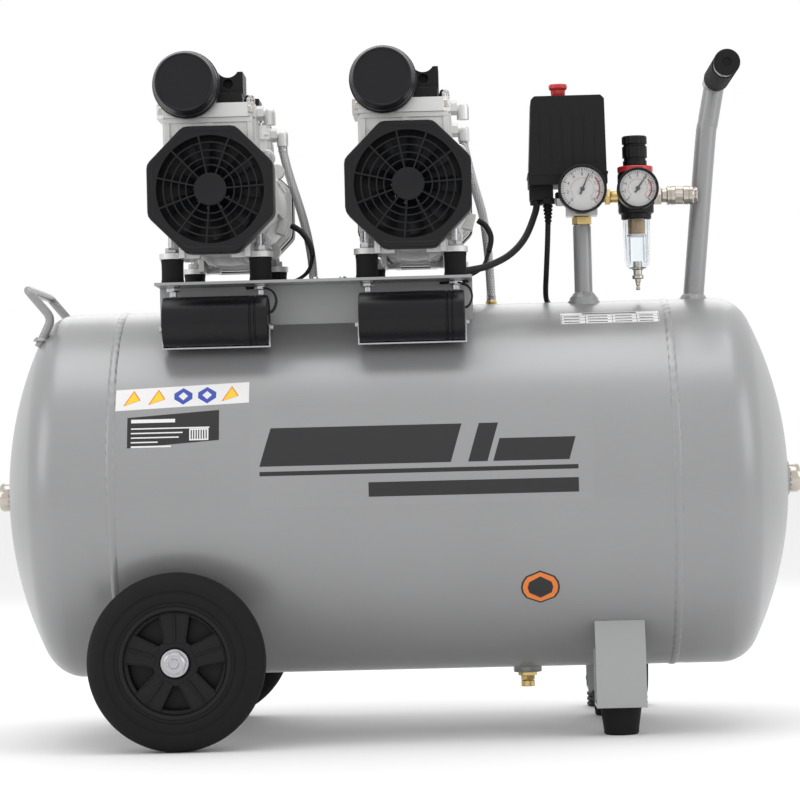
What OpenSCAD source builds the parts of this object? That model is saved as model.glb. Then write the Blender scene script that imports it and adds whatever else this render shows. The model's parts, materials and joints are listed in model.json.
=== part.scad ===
// Wheeled air compressor: a lying tank with two twin-cylinder pumps on a platform,
// a pressure switch, a filter-regulator, gauges, two wheels, two feet and a push handle.
// X runs along the tank towards the push handle, Y to the back, Z up.
// The origin is on the floor under the middle of the tank.

/* [Tank] */
// Outer radius of the tank
tank_r = 200; // [195:1:205]
// Height of the tank's underside above the floor
tank_low = 66; // [62:1:72]
// Wall thickness of shell and heads
wall = 3; // [2:0.5:4]
// Half length of the rolled shell between its weld seams
seam_x = 300; // [290:1:330]
// Straight flange of each head
flange_len = 49.5; // [40:0.5:60]
// Knuckle radius of each head
knuckle_r = 40; // [30:1:50]
// Crown radius of each head
crown_r = 400; // [350:5:450]
// Radius of the end bosses
end_boss_r = 19; // [17:0.5:24]
// Shank radius of the threaded end plugs
plug_shank_r = 10; // [8:0.5:13]
// Head radius of the end plugs
plug_head_r = 15.75; // [14:0.25:18]
// Head height of the end plugs
plug_head_h = 12; // [8:1:16]

/* [Wheels] */
// Outer radius of the wheels
wheel_r = 92.8; // [85:0.1:100]
// Width of the tyres
tyre_w = 42; // [36:1:44]
// Radius of the border between tyre and rim
rim_r = 58.6; // [50:0.1:66]
// Distance of the wheels from the middle of the tank, along X
wheel_x = 229.3; // [215:0.1:250]
// Gap between a wheel and the tank, where the wheel reaches highest
wheel_clear = 1.37; // [1:0.01:6]
// Shank radius of the shoulder bolts
axle_r = 8; // [6:0.5:9]
// Number of spokes in a rim
spokes = 5; // [4:1:7]

/* [Feet] */
// Distance of the feet from the middle of the tank, along X
foot_x = 233; // [210:1:260]
// Distance of the feet from the middle plane
foot_y = 118; // [112:1:122]
// Height of a rubber foot
foot_h = 30; // [24:1:32]
// Radius of the top of a rubber foot
foot_top_r = 22.5; // [20:0.5:24]
// Radius of the bottom of a rubber foot
foot_low_r = 18; // [14:0.5:20]
// Width of a foot bracket
foot_bracket_w = 53; // [48:1:60]

/* [Handles] */
// Radius of the push handle's grip bar
bar_r = 12.5; // [11:0.5:14]
// Radius of the push handle's post
post_r = 11.3; // [10:0.1:12]
// Length of the grip bar in front of its post
bar_len = 160; // [140:1:180]
// Height of the grip bar above the top of the tank
bar_above = 239; // [220:1:260]
// Wall of the rubber grips
grip_wall = 1.5; // [1:0.25:3]
// Radius of the carry handle's bar
carry_r = 4.75; // [4:0.25:6]
// Half width of the carry handle
carry_half = 85; // [70:1:100]

/* [Platform] */
// Height of the platform's top face above the top of the tank
platform_above = 24.5; // [22:0.5:28]
// Thickness of the platform's sheet
sheet = 3; // [2:0.5:4]
// Half depth of the platform
platform_half = 145; // [138:1:150]
// Distance of the webs from the middle plane
web_y = 87; // [82:1:92]
// Radius of the rubber isolators
isolator_r = 12.25; // [10:0.25:14]
// Height of the rubber isolators
isolator_h = 25.5; // [22:0.5:28]
// Radius of a capacitor can
can_r = 27; // [22:0.5:28]
// Length of a capacitor can
can_len = 112; // [95:1:115]

/* [Pumps] */
// X of the left pump's shaft
left_pump_x = -185; // [-190:1:-180]
// X of the right pump's shaft
right_pump_x = 22.5; // [18:0.5:26]
// Height of the shafts above the platform
shaft_above = 94.5; // [93:0.5:100]
// Spacing of the pump feet, along X
pump_feet_dx = 94; // [90:1:98]
// Spacing of the pump feet, along Y
pump_feet_dy = 250; // [244:1:256]
// Cylinder bore radius
bore_r = 30; // [28:0.5:31]
// Throw of the eccentrics
throw = 5; // [3:0.5:6]
// Running clearance on shafts and pins, on the radius
run_gap = 0.05; // [0.02:0.01:0.1]
// Radius of the crankshaft
shaft_r = 7.5; // [6:0.5:9]
// Radius of an eccentric
eccentric_r = 16; // [14:0.5:18]
// Across flats of the fan grilles
grille_af = 133; // [126:1:140]
// Radius of the fans
fan_r = 52; // [44:1:54]
// Blades on a fan
fan_blades = 9; // [5:1:11]
// Radius of a filter canister's rim
filter_r = 35.7; // [30:0.1:38]

/* [Air line] */
// X of the riser pipe
riser_x = 208.7; // [200:0.5:215]
// Y of the whole air line
line_y = -25; // [-35:1:-20]
// Radius of the riser pipe
riser_r = 9.9; // [8:0.1:12]
// Height of the pipe fittings' common axis above the top of the tank
port_above = 113; // [111:0.5:115]
// Radius of the tank pressure gauge
tank_gauge_r = 26; // [22:0.5:28]
// Radius of the outlet pressure gauge
outlet_gauge_r = 22.2; // [18:0.2:24]
// X of the regulator's axis
regulator_x = 268.5; // [265:0.5:275]
// Radius of the clear bowl
bowl_r = 14.85; // [12:0.5:18]
// Bore radius of the quick coupler's socket
coupler_bore_r = 5.6; // [4:0.1:6.5]
// Radius of the mains cord
cord_r = 3; // [2.5:0.1:3.2]

/* [Hidden] */
$fn = 48;
eps = 0.01;

// colours
paint = [0.60, 0.60, 0.61];
black = [0.13, 0.13, 0.14];
rubber = [0.10, 0.10, 0.11];
alloy = [0.80, 0.80, 0.80];
zinc = [0.72, 0.73, 0.75];
brass = [0.80, 0.62, 0.28];
red = [0.80, 0.10, 0.10];
steel = [0.55, 0.56, 0.58];

// places that follow from the tank's size
tank_z = tank_low + tank_r;
tank_top = tank_z + tank_r;
platform_z = tank_top + platform_above;
bar_z = tank_top + bar_above;
port_z = tank_top + port_above;
wheel_in_y = sqrt(pow(tank_r, 2) - pow(max(0, tank_z - 2 * wheel_r), 2)) + wheel_clear;
wheel_face_y = wheel_in_y + tyre_w;

// tank geometry: the head is a crown sphere, a knuckle torus and a straight flange
knuckle_x = seam_x + flange_len;
crown_x = knuckle_x - sqrt(pow(crown_r - knuckle_r, 2) - pow(tank_r - knuckle_r, 2));
apex_x = crown_x + crown_r;
crown_angle = asin((tank_r - knuckle_r) / (crown_r - knuckle_r));
crown_bands = 8;
bead_r = 10;
bead_h = 1.2;
plug_gap = 0.1;
boss_h = 2;
valve_y = 106;
valve_bung_r = 14;
valve_bung_z = tank_top - 16;
valve_x = [-94, 108];
valve_r = 6;
ferrule_r = 6.6;
hose_low_z = tank_top + 10;
riser_collar_r = 16;
riser_collar_z = tank_top + 3.5;
drain_x = 137;
drain_bung_r = 15.5;
drain_bung_z = tank_low - 6;
drain_r = 7.9;
drain_stem_r = 3.15;

// wheels
hub_r = 15.4;
rim_depth = 3.5;
rim_well_r = 53.5;
rim_w = tyre_w - 2;
wheel_mid_y = wheel_face_y - tyre_w / 2;
hub_out_y = wheel_face_y - 3.2;
wheel_gap = 0.4;
pocket_turn = -90 - 180 / spokes;
bracket_y = wheel_in_y - 16.5;
bracket_t = 4;
wheel_bracket_w = 56;
wheel_bracket_z = wheel_r - 20.8;

// feet
foot_plate_t = 3;
foot_wall_y = 149;
foot_fold_z = 86;
foot_weld_y = 137.7;
foot_weld_z = 121;
foot_hole_r = 4.2;

// handles: a bend is a ball, a little wider than its bar
bend_swell = 0.25;
head_reach = apex_x - 59.01;
bar_x = knuckle_x + 10.5;

// platform
platform_x0 = -250;
platform_x1 = 87;
web_low_z = tank_top - 36;
pump_xs = [left_pump_x, right_pump_x];
isolator_top = platform_z + isolator_h;
stud_r = 4;
stud_hole_r = 4.3;
hose_hole_r = 10;
grommet_xy = [74, -98];
grommet_r = 8;
can_y = -145;
can_z = platform_z - 43;
strap_t = 1.5;
strap_w = 14;

// pumps: heights are counted from the shaft
shaft_z = platform_z + shaft_above;
foot_low = isolator_top - shaft_z;
foot_pad_t = 6;
case_out_y = 150;
case_in_y = 70;
case_wall = 6;
case_af = 124;
case_bore_r = 48;
cyl_y = (case_out_y + case_in_y) / 2;
neck_top = 79;
neck_w = 94;
neck_low = 40;
sleeve_wall = 3;
sleeve_low = 36;
head_off = -6;
head_w = 104;
head_h = 15;
elbow_out = 13;
hose_top_z = shaft_z + 74;
cover_h = 11;
box_h = 23;
bearing_r = 17;
rotor_r = 40;
stator_r = 60;
motor_r = 64;
air_gap = 0.5;
eccentric_w = 12;
rod_w = 10;
rod_ring_r = 24;
piston_gap = 0.5;
piston_r = bore_r - throw - piston_gap;
piston_h = 8;
top_gap = 3;
fan_y = 167;
fan_w = 18;
grille_y = 183;
grille_t = 2.5;
grille_open_r = 56.5;
grille_hub_r = 17.3;
grille_rings = [25.5, 33, 41, 49.4];
grille_spokes = 11;
grille_phase = 3.1;
filter_off = [-24, 112];
filter_y0 = 158;
filter_y1 = 190;
filter_face_r = 30;

// air line
riser_low = tank_top - 8;
riser_top = port_z - 30;
gauge_face_y = line_y - 50;
gauge_depth = 22;
switch_x0 = 151;
switch_x1 = 237;
switch_y0 = gauge_face_y + gauge_depth + 1;
switch_y1 = 10;
switch_low = port_z + 13;
switch_split = switch_low + 12;
switch_top = switch_split + 85;
switch_wall = 2.5;
switch_knob_x = 186.3;
switch_knob_y = -26;
tank_gauge_z = port_z + 5.5;
outlet_gauge_z = port_z + 4.5;
tank_needle_deg = 24;
outlet_needle_deg = 34;
regulator_r = 19.5;
coupler_x0 = 288;
coupler_x1 = 336;
safety_x = 208.7;

// routes of the flexible hoses, cables and cord, as points chosen by hand
hose_r = 5;
hose_1 = [[-126, 106, 659], [-125, 106, 650], [-119, 106, 625], [-104, 106, 573], [-96, 106, 530], [-94, 106, 486], [-94, 106, 476]];
hose_2 = [[81.5, 106, 659], [82.5, 106, 650], [91, 106, 612], [101, 106, 573], [106, 106, 530], [108, 106, 486], [108, 106, 476]];
link_r = 3.75;
link_route = [[160, -25, 577], [158, -26, 564], [146, -38, 536], [128, -58, 516], [104, -82, 503], [84, -96, 498],
  [75, -98, 494], [74, -98, 488]];
lead_r = 3.4;
lead_1 = [[-112, 12, 560], [-102, 8, 553], [-93, 2, 540], [-89, -4, 524], [-95, -10, 506], [-112, -15, 496],
  [-136, -20, 494]];
lead_2 = [[95.5, 12, 560], [104, 8, 553], [109, 2, 540], [106, -4, 524], [98, -10, 506], [80, -15, 496], [56, -20, 494]];
cord_route = [[172, -25, 577], [172, -25, 562], [171, -20, 535], [169, -5, 500], [168, 7, 481], [169, 22, 470.5],
  [173, 42, 465.6], [180, 70, 457.8], [196, 117, 433.4], [214, 156, 397.8], [232, 184.8, 352.6], [248, 200.8, 302],
  [258, 205, 255], [268, 207, 200], [275, 209, 150], [279, 210, 100], [279, 212, 64], [279, 218, 40],
  [279, 230, 23], [279, 245, 15]];
cord_tail = [[273, 245, 15], [271, 256, 17], [264, 265, 20], [249, 270, 25], [233, 264, 31], [226, 252, 35],
  [225, 244, 35.5], [225, 240, 35.5]];
coil_pos = [246, 245];
coil_r = 30;
plug_r = 17;
plug_pos = [225, 240, 35.5];

// ---------- helpers ----------

module along_x() rotate([0, 90, 0]) children();
module along_y() rotate([-90, 0, 0]) children();
module both_y() { children(); mirror([0, 1, 0]) children(); }
module both_x() { children(); mirror([1, 0, 0]) children(); }
module at_pumps() for (x = pump_xs) translate([x, 0, shaft_z]) children();
module block(x0, x1, y0, y1, z0, z1) translate([x0, y0, z0]) cube([x1 - x0, y1 - y0, z1 - z0]);
module hex(af, h) cylinder(r = af / sqrt(3), h = h, $fn = 6);
module ring(ro, ri, h) difference() { cylinder(r = ro, h = h); translate([0, 0, -1]) cylinder(r = ri, h = h + 2); }
module rod_between(a, b, r) {
  d = b - a;
  translate(a) rotate([0, acos(d[2] / norm(d)), atan2(d[1], d[0])]) cylinder(r = r, h = norm(d));
}
module octagon(af, h) rotate([0, 0, 22.5]) cylinder(r = af / 2 / cos(22.5), h = h, $fn = 8);

// the solid volume of the tank, for cutting what is welded to it
module tank_outer() translate([0, 0, tank_z]) {
  along_x() cylinder(r = tank_r, h = 2 * knuckle_x, center = true);
  both_x() along_x() rotate_extrude() head_outline(0);
}

// half section of a head, its faces moved inwards by t
module head_outline(t) {
  square_len = knuckle_x - seam_x;
  translate([0, seam_x]) square([tank_r - t, square_len]);
  translate([tank_r - knuckle_r, knuckle_x]) intersection() {
    circle(r = knuckle_r - t);
    square(knuckle_r);
  }
  polygon(concat([[0, knuckle_x - 1]], [for (k = [0 : crown_bands]) let (a = crown_angle * k / crown_bands)
    [(crown_r - t) * sin(a), crown_x + (crown_r - t) * cos(a)]], [[(crown_r - t) * sin(crown_angle), knuckle_x - 1]]));
}

// smooth tube along a route: a Catmull-Rom curve through the points, swept as one polyhedron
function spline(p, i, t) = let (
    a = p[max(i - 1, 0)], b = p[i], c = p[i + 1], d = p[min(i + 2, len(p) - 1)])
  0.5 * (2 * b + (c - a) * t + (2 * a - 5 * b + 4 * c - d) * t * t + (3 * b - a - 3 * c + d) * t * t * t);
function curve(p, n) = concat([for (i = [0 : len(p) - 2], k = [0 : n - 1]) spline(p, i, k / n)], [p[len(p) - 1]]);
function unit(v) = v / norm(v);
function tangent(c, i) = unit(c[min(i + 1, len(c) - 1)] - c[max(i - 1, 0)]);
module tube(route, r, steps, sides = 8) {
  c = curve(route, steps);
  n = len(c);
  points = [for (i = [0 : n - 1]) let (t = tangent(c, i), s = unit(cross(t, [0.13, 0.98, 0.15])), u = cross(s, t))
    for (k = [0 : sides - 1]) c[i] + r * (cos(360 * k / sides) * s + sin(360 * k / sides) * u)];
  wall_faces = [for (i = [0 : n - 2], k = [0 : sides - 1], half = [0, 1]) let (a = i * sides + k, b = i * sides + (k + 1) % sides)
    half == 0 ? [a, b, b + sides] : [a, b + sides, a + sides]];
  start_face = [for (k = [1 : sides - 2]) [0, k + 1, k]];
  end_face = [for (k = [1 : sides - 2]) [(n - 1) * sides, (n - 1) * sides + k, (n - 1) * sides + k + 1]];
  polyhedron(points, concat(start_face, end_face, wall_faces));
}

// ---------- tank ----------

module tank_shell() color(paint) difference() {
  translate([0, 0, tank_z]) along_x() {
    cylinder(r = tank_r, h = 2 * seam_x, center = true);
    for (s = [0, 1]) mirror([0, 0, s]) rotate_extrude() intersection() {
      translate([tank_r + bead_h - bead_r, seam_x - 5]) circle(r = bead_r);
      translate([tank_r - 1, seam_x - 15]) square([bead_r, 15]);
    }
  }
  translate([0, 0, tank_z]) along_x() cylinder(r = tank_r - wall, h = 2 * seam_x + 2, center = true);
  for (x = valve_x) translate([x, valve_y, tank_z]) cylinder(r = valve_r, h = tank_r);
  translate([riser_x, line_y, tank_z]) cylinder(r = riser_r, h = tank_r + 34);
  translate([drain_x, 0, drain_bung_z - 1]) cylinder(r = drain_r, h = 30);
}

module tank_heads() color(paint) translate([0, 0, tank_z]) both_x() difference() {
  along_x() {
    rotate_extrude() difference() { head_outline(0); head_outline(wall); }
    translate([0, 0, apex_x - 5]) cylinder(r = end_boss_r, h = 5 + boss_h);
  }
  along_x() translate([0, 0, apex_x - 20]) cylinder(r = plug_shank_r + plug_gap, h = 40);
}

module end_plugs() color(zinc) translate([0, 0, tank_z]) both_x() along_x() translate([0, 0, apex_x + boss_h]) {
  translate([0, 0, -12]) cylinder(r = plug_shank_r, h = 12 + eps);
  difference() {
    cylinder(r = plug_head_r, h = plug_head_h);
    translate([0, 0, plug_head_h - 5]) hex(12, 6);
  }
}

// threaded sockets welded onto the tank
module tank_sockets() color(paint) difference() {
  union() {
    for (x = valve_x) translate([x, valve_y, tank_z]) cylinder(r = valve_bung_r, h = valve_bung_z - tank_z);
    translate([riser_x, line_y, tank_z]) cylinder(r = riser_collar_r, h = riser_collar_z - tank_z);
    translate([drain_x, 0, drain_bung_z]) cylinder(r = drain_bung_r, h = tank_z - drain_bung_z);
  }
  tank_outer();
  for (x = valve_x) translate([x, valve_y, tank_z]) cylinder(r = valve_r, h = tank_r);
  translate([riser_x, line_y, tank_z]) cylinder(r = riser_r, h = tank_r + 10);
  translate([drain_x, 0, drain_bung_z - 1]) cylinder(r = drain_r, h = 30);
}

// drain valve body, and a check valve with a crimped hose end for each hose
module tank_valves() color(brass) {
  translate([drain_x, 0, 0]) difference() {
    union() {
      translate([0, 0, drain_bung_z]) cylinder(r = drain_r, h = 14);
      translate([0, 0, drain_bung_z - 4]) hex(18, 4);
      translate([0, 0, drain_bung_z - 8.5]) hex(14, 4.5);
    }
    translate([0, 0, drain_bung_z - 20]) cylinder(r = drain_stem_r + run_gap, h = 26);
  }
  for (x = valve_x) translate([x, valve_y, 0]) {
    translate([0, 0, valve_bung_z - 14]) cylinder(r = valve_r, h = 15);
    translate([0, 0, valve_bung_z]) hex(19, 12);
    translate([0, 0, valve_bung_z + 11]) cylinder(r = ferrule_r, h = hose_low_z - valve_bung_z - 11);
  }
}

module tank_fittings() {
  tank_sockets();
  tank_valves();
}

module drain_knob() color(brass) translate([drain_x, 0, drain_bung_z]) {
  difference() {
    translate([0, 0, -16]) cylinder(r = 7.6, h = 6.8);
    for (a = [0 : 24 : 359]) rotate(a) translate([8.1, 0, -17]) cylinder(r = 0.9, h = 9, $fn = 4);
  }
  translate([0, 0, -10]) cylinder(r = drain_stem_r, h = 14);
}

// ---------- wheels ----------

module wheel_bracket() difference() {
  translate([-wheel_x - wheel_bracket_w / 2, 0, 0]) {
    block(0, wheel_bracket_w, bracket_y, bracket_y + bracket_t, wheel_bracket_z, wheel_bracket_z + 103);
    block(0, wheel_bracket_w, bracket_y - 62, bracket_y + bracket_t, wheel_bracket_z, wheel_bracket_z + bracket_t);
    block(0, wheel_bracket_w, bracket_y - 62, bracket_y - 62 + bracket_t, wheel_bracket_z, tank_low + 54);
  }
  tank_outer();
  translate([-wheel_x, bracket_y - 1, wheel_r]) along_y() cylinder(r = axle_r, h = bracket_t + 2);
}
module wheel_brackets() color(paint) both_y() wheel_bracket();

module axle_bolts() color(zinc) both_y() translate([-wheel_x, 0, wheel_r]) along_y() {
  translate([0, 0, bracket_y - 14]) cylinder(r = axle_r, h = hub_out_y + wheel_gap - bracket_y + 14);
  translate([0, 0, bracket_y + bracket_t]) cylinder(r = 12, h = wheel_face_y - tyre_w - wheel_gap - bracket_y - bracket_t);
  translate([0, 0, bracket_y - 11]) hex(20, 11);
  translate([0, 0, hub_out_y + wheel_gap]) cylinder(r = 14.5, h = 2);
  translate([0, 0, hub_out_y + wheel_gap + 2]) hex(24, 9);
}

module tyre(side) color(rubber) mirror([0, side, 0]) translate([-wheel_x, wheel_mid_y, wheel_r]) along_y()
  rotate_extrude($fn = 96) difference() {
    union() {
      translate([rim_r, -tyre_w / 2 + 1]) square([wheel_r - 8 - rim_r, tyre_w - 2]);
      translate([rim_r + 4, -tyre_w / 2]) square([14, tyre_w]);
      translate([wheel_r - 9, -tyre_w / 2 + 9]) square([9, tyre_w - 18]);
      for (s = [-1, 1]) translate([wheel_r - 9, s * (tyre_w / 2 - 9)]) circle(r = 9);
    }
    for (s = [-1, 1]) translate([wheel_r - 16.5, s * (tyre_w / 2)]) circle(r = 1.2);
  }

module rim(side) color(black) mirror([0, side, 0]) translate([-wheel_x, wheel_mid_y, wheel_r]) along_y() difference() {
  union() {
    difference() {
      translate([0, 0, -rim_w / 2]) cylinder(r = rim_r, h = rim_w);
      translate([0, 0, rim_w / 2 - rim_depth]) cylinder(r = rim_well_r, h = rim_w);
      for (k = [0 : spokes - 1]) rotate(pocket_turn + 360 / spokes * k) translate([0, 0, rim_w / 2 - 16]) linear_extrude(rim_w)
        intersection() {
          difference() { circle(r = 48); circle(r = 24); }
          polygon([[0, 0], [70, -70 * tan(19)], [70, 70 * tan(19)]]);
        }
      translate([0, 0, -rim_w / 2 - 1]) ring(rim_well_r, hub_r, 17);
    }
    translate([0, 0, -tyre_w / 2]) cylinder(r = hub_r, h = hub_out_y - wheel_mid_y + tyre_w / 2);
  }
  translate([0, 0, -tyre_w]) cylinder(r = axle_r + run_gap, h = 2 * tyre_w);
}

// ---------- feet ----------

module foot_brackets() color(paint) both_y() difference() {
  translate([foot_x - foot_bracket_w / 2, 0, 0]) rotate([90, 0, 90]) linear_extrude(foot_bracket_w) {
    polygon([[foot_wall_y - foot_plate_t, foot_h], [foot_wall_y, foot_h], [foot_wall_y, foot_fold_z],
      [foot_weld_y, foot_weld_z + 4], [foot_weld_y - foot_plate_t, foot_weld_z + 4],
      [foot_wall_y - foot_plate_t, foot_fold_z]]);
    translate([92, foot_h]) square([foot_wall_y - 92, foot_plate_t]);
    translate([92, foot_h]) square([foot_plate_t, 70]);
  }
  tank_outer();
  translate([foot_x, foot_y, 0]) cylinder(r = foot_hole_r, h = 60);
}

module rubber_feet() color(rubber) both_y() translate([foot_x, foot_y, 0]) difference() {
  cylinder(r1 = foot_low_r, r2 = foot_top_r, h = foot_h);
  translate([0, 0, -1]) cylinder(r = 8.5, h = 13);
  cylinder(r = foot_hole_r, h = 60);
}

// ---------- handles ----------

module carry_handle() color(paint) difference() {
  union() {
    rod_between([-head_reach - 26, -carry_half, platform_z], [-head_reach - 26, carry_half, platform_z], carry_r);
    both_y() {
      rod_between([-head_reach - 26, carry_half, platform_z], [-head_reach, carry_half, platform_z - 31.5], carry_r);
      rod_between([-head_reach, carry_half, platform_z - 31.5], [-head_reach - 15, carry_half, platform_z - 64.5], carry_r);
      translate([-head_reach - 26, carry_half, platform_z]) sphere(r = carry_r + bend_swell);
      translate([-head_reach, carry_half, platform_z - 31.5]) sphere(r = carry_r + bend_swell);
    }
  }
  tank_outer();
}

post_route = [[bar_x - 32.5, 0, tank_top - 26], [bar_x - 12.1, 0, bar_z - 68], [bar_x - 2.3, 0, bar_z - 14], [bar_x, 0, bar_z]];
module post_solid(r) {
  for (i = [0 : 2]) rod_between(post_route[i], post_route[i + 1], r);
  for (i = [1 : 2]) translate(post_route[i]) sphere(r = r + bend_swell);
}
module push_handle() color(paint) difference() {
  union() {
    post_solid(post_r);
    translate([bar_x, -bar_len, bar_z]) along_y() cylinder(r = bar_r, h = bar_len + post_r);
  }
  tank_outer();
  translate([bar_x, -bar_len - 1, bar_z]) along_y() cylinder(r = bar_r - 1.5, h = bar_len - post_r + 1);
}

module handle_grips() color(rubber) translate([bar_x, 0, bar_z]) mirror([0, 1, 0]) along_y() {
  translate([0, 0, 30]) ring(bar_r + grip_wall, bar_r, bar_len - 52);
  difference() {
    union() {
      translate([0, 0, bar_len]) cylinder(r = bar_r + grip_wall, h = 6);
      translate([0, 0, bar_len - 12]) cylinder(r = bar_r - 1.5, h = 12 + eps);
    }
    translate([0, 0, bar_len + 4]) cylinder(r = 4.5, h = 4);
  }
}

// ---------- platform ----------

module pump_platform() color(paint) difference() {
  union() {
    block(platform_x0, platform_x1, -platform_half, platform_half, platform_z - sheet, platform_z);
    both_y() block(platform_x0, platform_x1, web_y - sheet / 2, web_y + sheet / 2, web_low_z, platform_z - 1);
  }
  tank_outer();
  for (px = pump_xs, sx = [-1, 1], sy = [-1, 1])
    translate([px + sx * pump_feet_dx / 2, sy * pump_feet_dy / 2, platform_z - 10]) cylinder(r = stud_hole_r, h = 20);
  translate([valve_x[0], valve_y, platform_z - 10]) cylinder(r = hose_hole_r, h = 20);
  translate([grommet_xy[0], grommet_xy[1], platform_z - 10]) cylinder(r = grommet_r, h = 20);
}

module isolators() color(rubber) {
  for (px = pump_xs, sx = [-1, 1], sy = [-1, 1])
    translate([px + sx * pump_feet_dx / 2, sy * pump_feet_dy / 2, platform_z]) ring(isolator_r, stud_r, isolator_h);
  translate([grommet_xy[0], grommet_xy[1], platform_z - sheet - 1.5]) difference() {
    union() {
      cylinder(r = grommet_r, h = sheet + 1.5);
      translate([0, 0, -1]) cylinder(r = grommet_r + 1.2, h = 2.5);
      translate([0, 0, sheet + 1.5]) cylinder(r = grommet_r + 2.5, h = 1.5);
    }
    translate([0, 0, 2]) cylinder(r = link_r, h = 10);
  }
}

module bolts() color(zinc) {
  // isolator studs with a nut under the platform and a nut on the pump foot
  for (px = pump_xs, sx = [-1, 1], sy = [-1, 1])
    translate([px + sx * pump_feet_dx / 2, sy * pump_feet_dy / 2, platform_z]) {
      translate([0, 0, -sheet - 12]) cylinder(r = stud_r, h = isolator_h + foot_pad_t + sheet + 21);
      translate([0, 0, -sheet - 6.5]) hex(13, 6.5);
      translate([0, 0, isolator_h + foot_pad_t]) hex(13, 6.5);
    }
  // foot screws
  both_y() translate([foot_x, foot_y, 0]) {
    translate([0, 0, 7]) cylinder(r = 6.5, h = 5);
    translate([0, 0, 12]) cylinder(r = 4, h = foot_h + foot_plate_t - 2);
    translate([0, 0, foot_h + foot_plate_t]) hex(13, 6.5);
  }
  // head screws of the pumps
  at_pumps() both_y() for (sx = [-1, 1], dy = [-30, 30])
    translate([head_off + sx * 45, cyl_y + dy, neck_top + head_h]) cylinder(r = 4.2, h = 5);
}

module capacitors() color(black) for (px = pump_xs) translate([px, can_y, can_z]) along_x() {
  translate([0, 0, -can_len / 2]) difference() {
    cylinder(r = can_r, h = can_len);
    translate([0, 0, can_len - 18]) ring(can_r + 1, can_r - 0.8, 1.6);
  }
  translate([-8, -6, can_len / 2]) cylinder(r = 3, h = 7);
  translate([-8, 6, can_len / 2]) cylinder(r = 3, h = 7);
}

module capacitor_straps() color(zinc) difference() {
  for (px = pump_xs) translate([px, 0, 0]) {
    block(-can_len / 2 - strap_t, can_len / 2 + strap_t, can_y - strap_w / 2, can_y + strap_w / 2,
      can_z - can_r - strap_t, can_z - can_r);
    for (s = [0, 1]) mirror([s, 0, 0]) {
      block(can_len / 2, can_len / 2 + strap_t, can_y - strap_w / 2, can_y + strap_w / 2, can_z - can_r - strap_t, can_z - 4);
      block(can_len / 2, can_len / 2 + strap_t, can_y - strap_w / 2, -web_y - sheet / 2, can_z - 10, can_z - 4);
      translate([can_len / 2 + strap_t, can_y, can_z - 7]) along_x() cylinder(r = 3, h = 3);
    }
  }
  tank_outer();
}

// ---------- pumps ----------

module crankcases() color(alloy) at_pumps() both_y() difference() {
  union() {
    translate([0, case_in_y, 0]) along_y() octagon(case_af, case_out_y - case_in_y);
    block(-neck_w / 2 + head_off + 3, neck_w / 2 + head_off + 3, case_in_y + 3, case_out_y - 3, neck_low, neck_top);
    // mounting feet with their ribs
    for (s = [-1, 1]) translate([s * pump_feet_dx / 2, pump_feet_dy / 2, foot_low]) {
      cylinder(r = isolator_r + 1.5, h = foot_pad_t);
      block(s > 0 ? -30 : -4, s > 0 ? 4 : 30, -10, 10, 0, foot_pad_t);
    }
    for (s = [-1, 1]) block(s * 35 - 3, s * 35 + 3, case_in_y + 6, case_out_y - 6, foot_low, -40);
    // clamping ears of the case bolts
    for (a = [38, -46, 142, -134]) rotate([0, -a, 0]) translate([68, case_in_y, 0]) along_y() cylinder(r = 8, h = 14);
  }
  translate([0, case_in_y + case_wall, 0]) along_y() cylinder(r = case_bore_r, h = case_out_y - case_in_y - 2 * case_wall);
  translate([0, cyl_y, 0]) cylinder(r = bore_r + sleeve_wall, h = 100);
  translate([0, case_in_y - 1, 0]) along_y() cylinder(r = bearing_r, h = case_out_y - case_in_y + 2);
  for (s = [-1, 1]) translate([s * pump_feet_dx / 2, pump_feet_dy / 2, foot_low - 1]) cylinder(r = stud_r, h = 20);
}

module bearings() color(steel) at_pumps() both_y() for (y = [case_in_y, case_out_y - case_wall])
  translate([0, y, 0]) along_y() ring(bearing_r, shaft_r + run_gap, case_wall);

module motor_shells() color(alloy) at_pumps() translate([0, -case_in_y, 0]) along_y() difference() {
  union() {
    cylinder(r = motor_r, h = 2 * case_in_y);
    for (a = [0 : 30 : 359]) rotate(a + 15) translate([motor_r - 1, -1.5, 8]) cube([4, 3, 2 * case_in_y - 16]);
    // cable outlet box
    rotate(15) translate([motor_r - 3, 0, 70]) cube([12, 18, 24]);
  }
  translate([0, 0, -1]) cylinder(r = stator_r, h = 2 * case_in_y + 2);
}

module stators() color([0.55, 0.33, 0.20]) at_pumps() translate([0, -45, 0]) along_y() difference() {
  union() {
    cylinder(r = stator_r, h = 90);
    translate([0, 0, -12]) cylinder(r = stator_r - 6, h = 114);
  }
  translate([0, 0, -20]) cylinder(r = rotor_r + air_gap, h = 130);
}

module cylinders() color(alloy) at_pumps() both_y() translate([0, cyl_y, sleeve_low])
  difference() {
    ring(bore_r + sleeve_wall, bore_r, neck_top - sleeve_low);
    translate([0, 0, -sleeve_low]) along_y() cylinder(r = case_bore_r, h = 100, center = true);
  }

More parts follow.
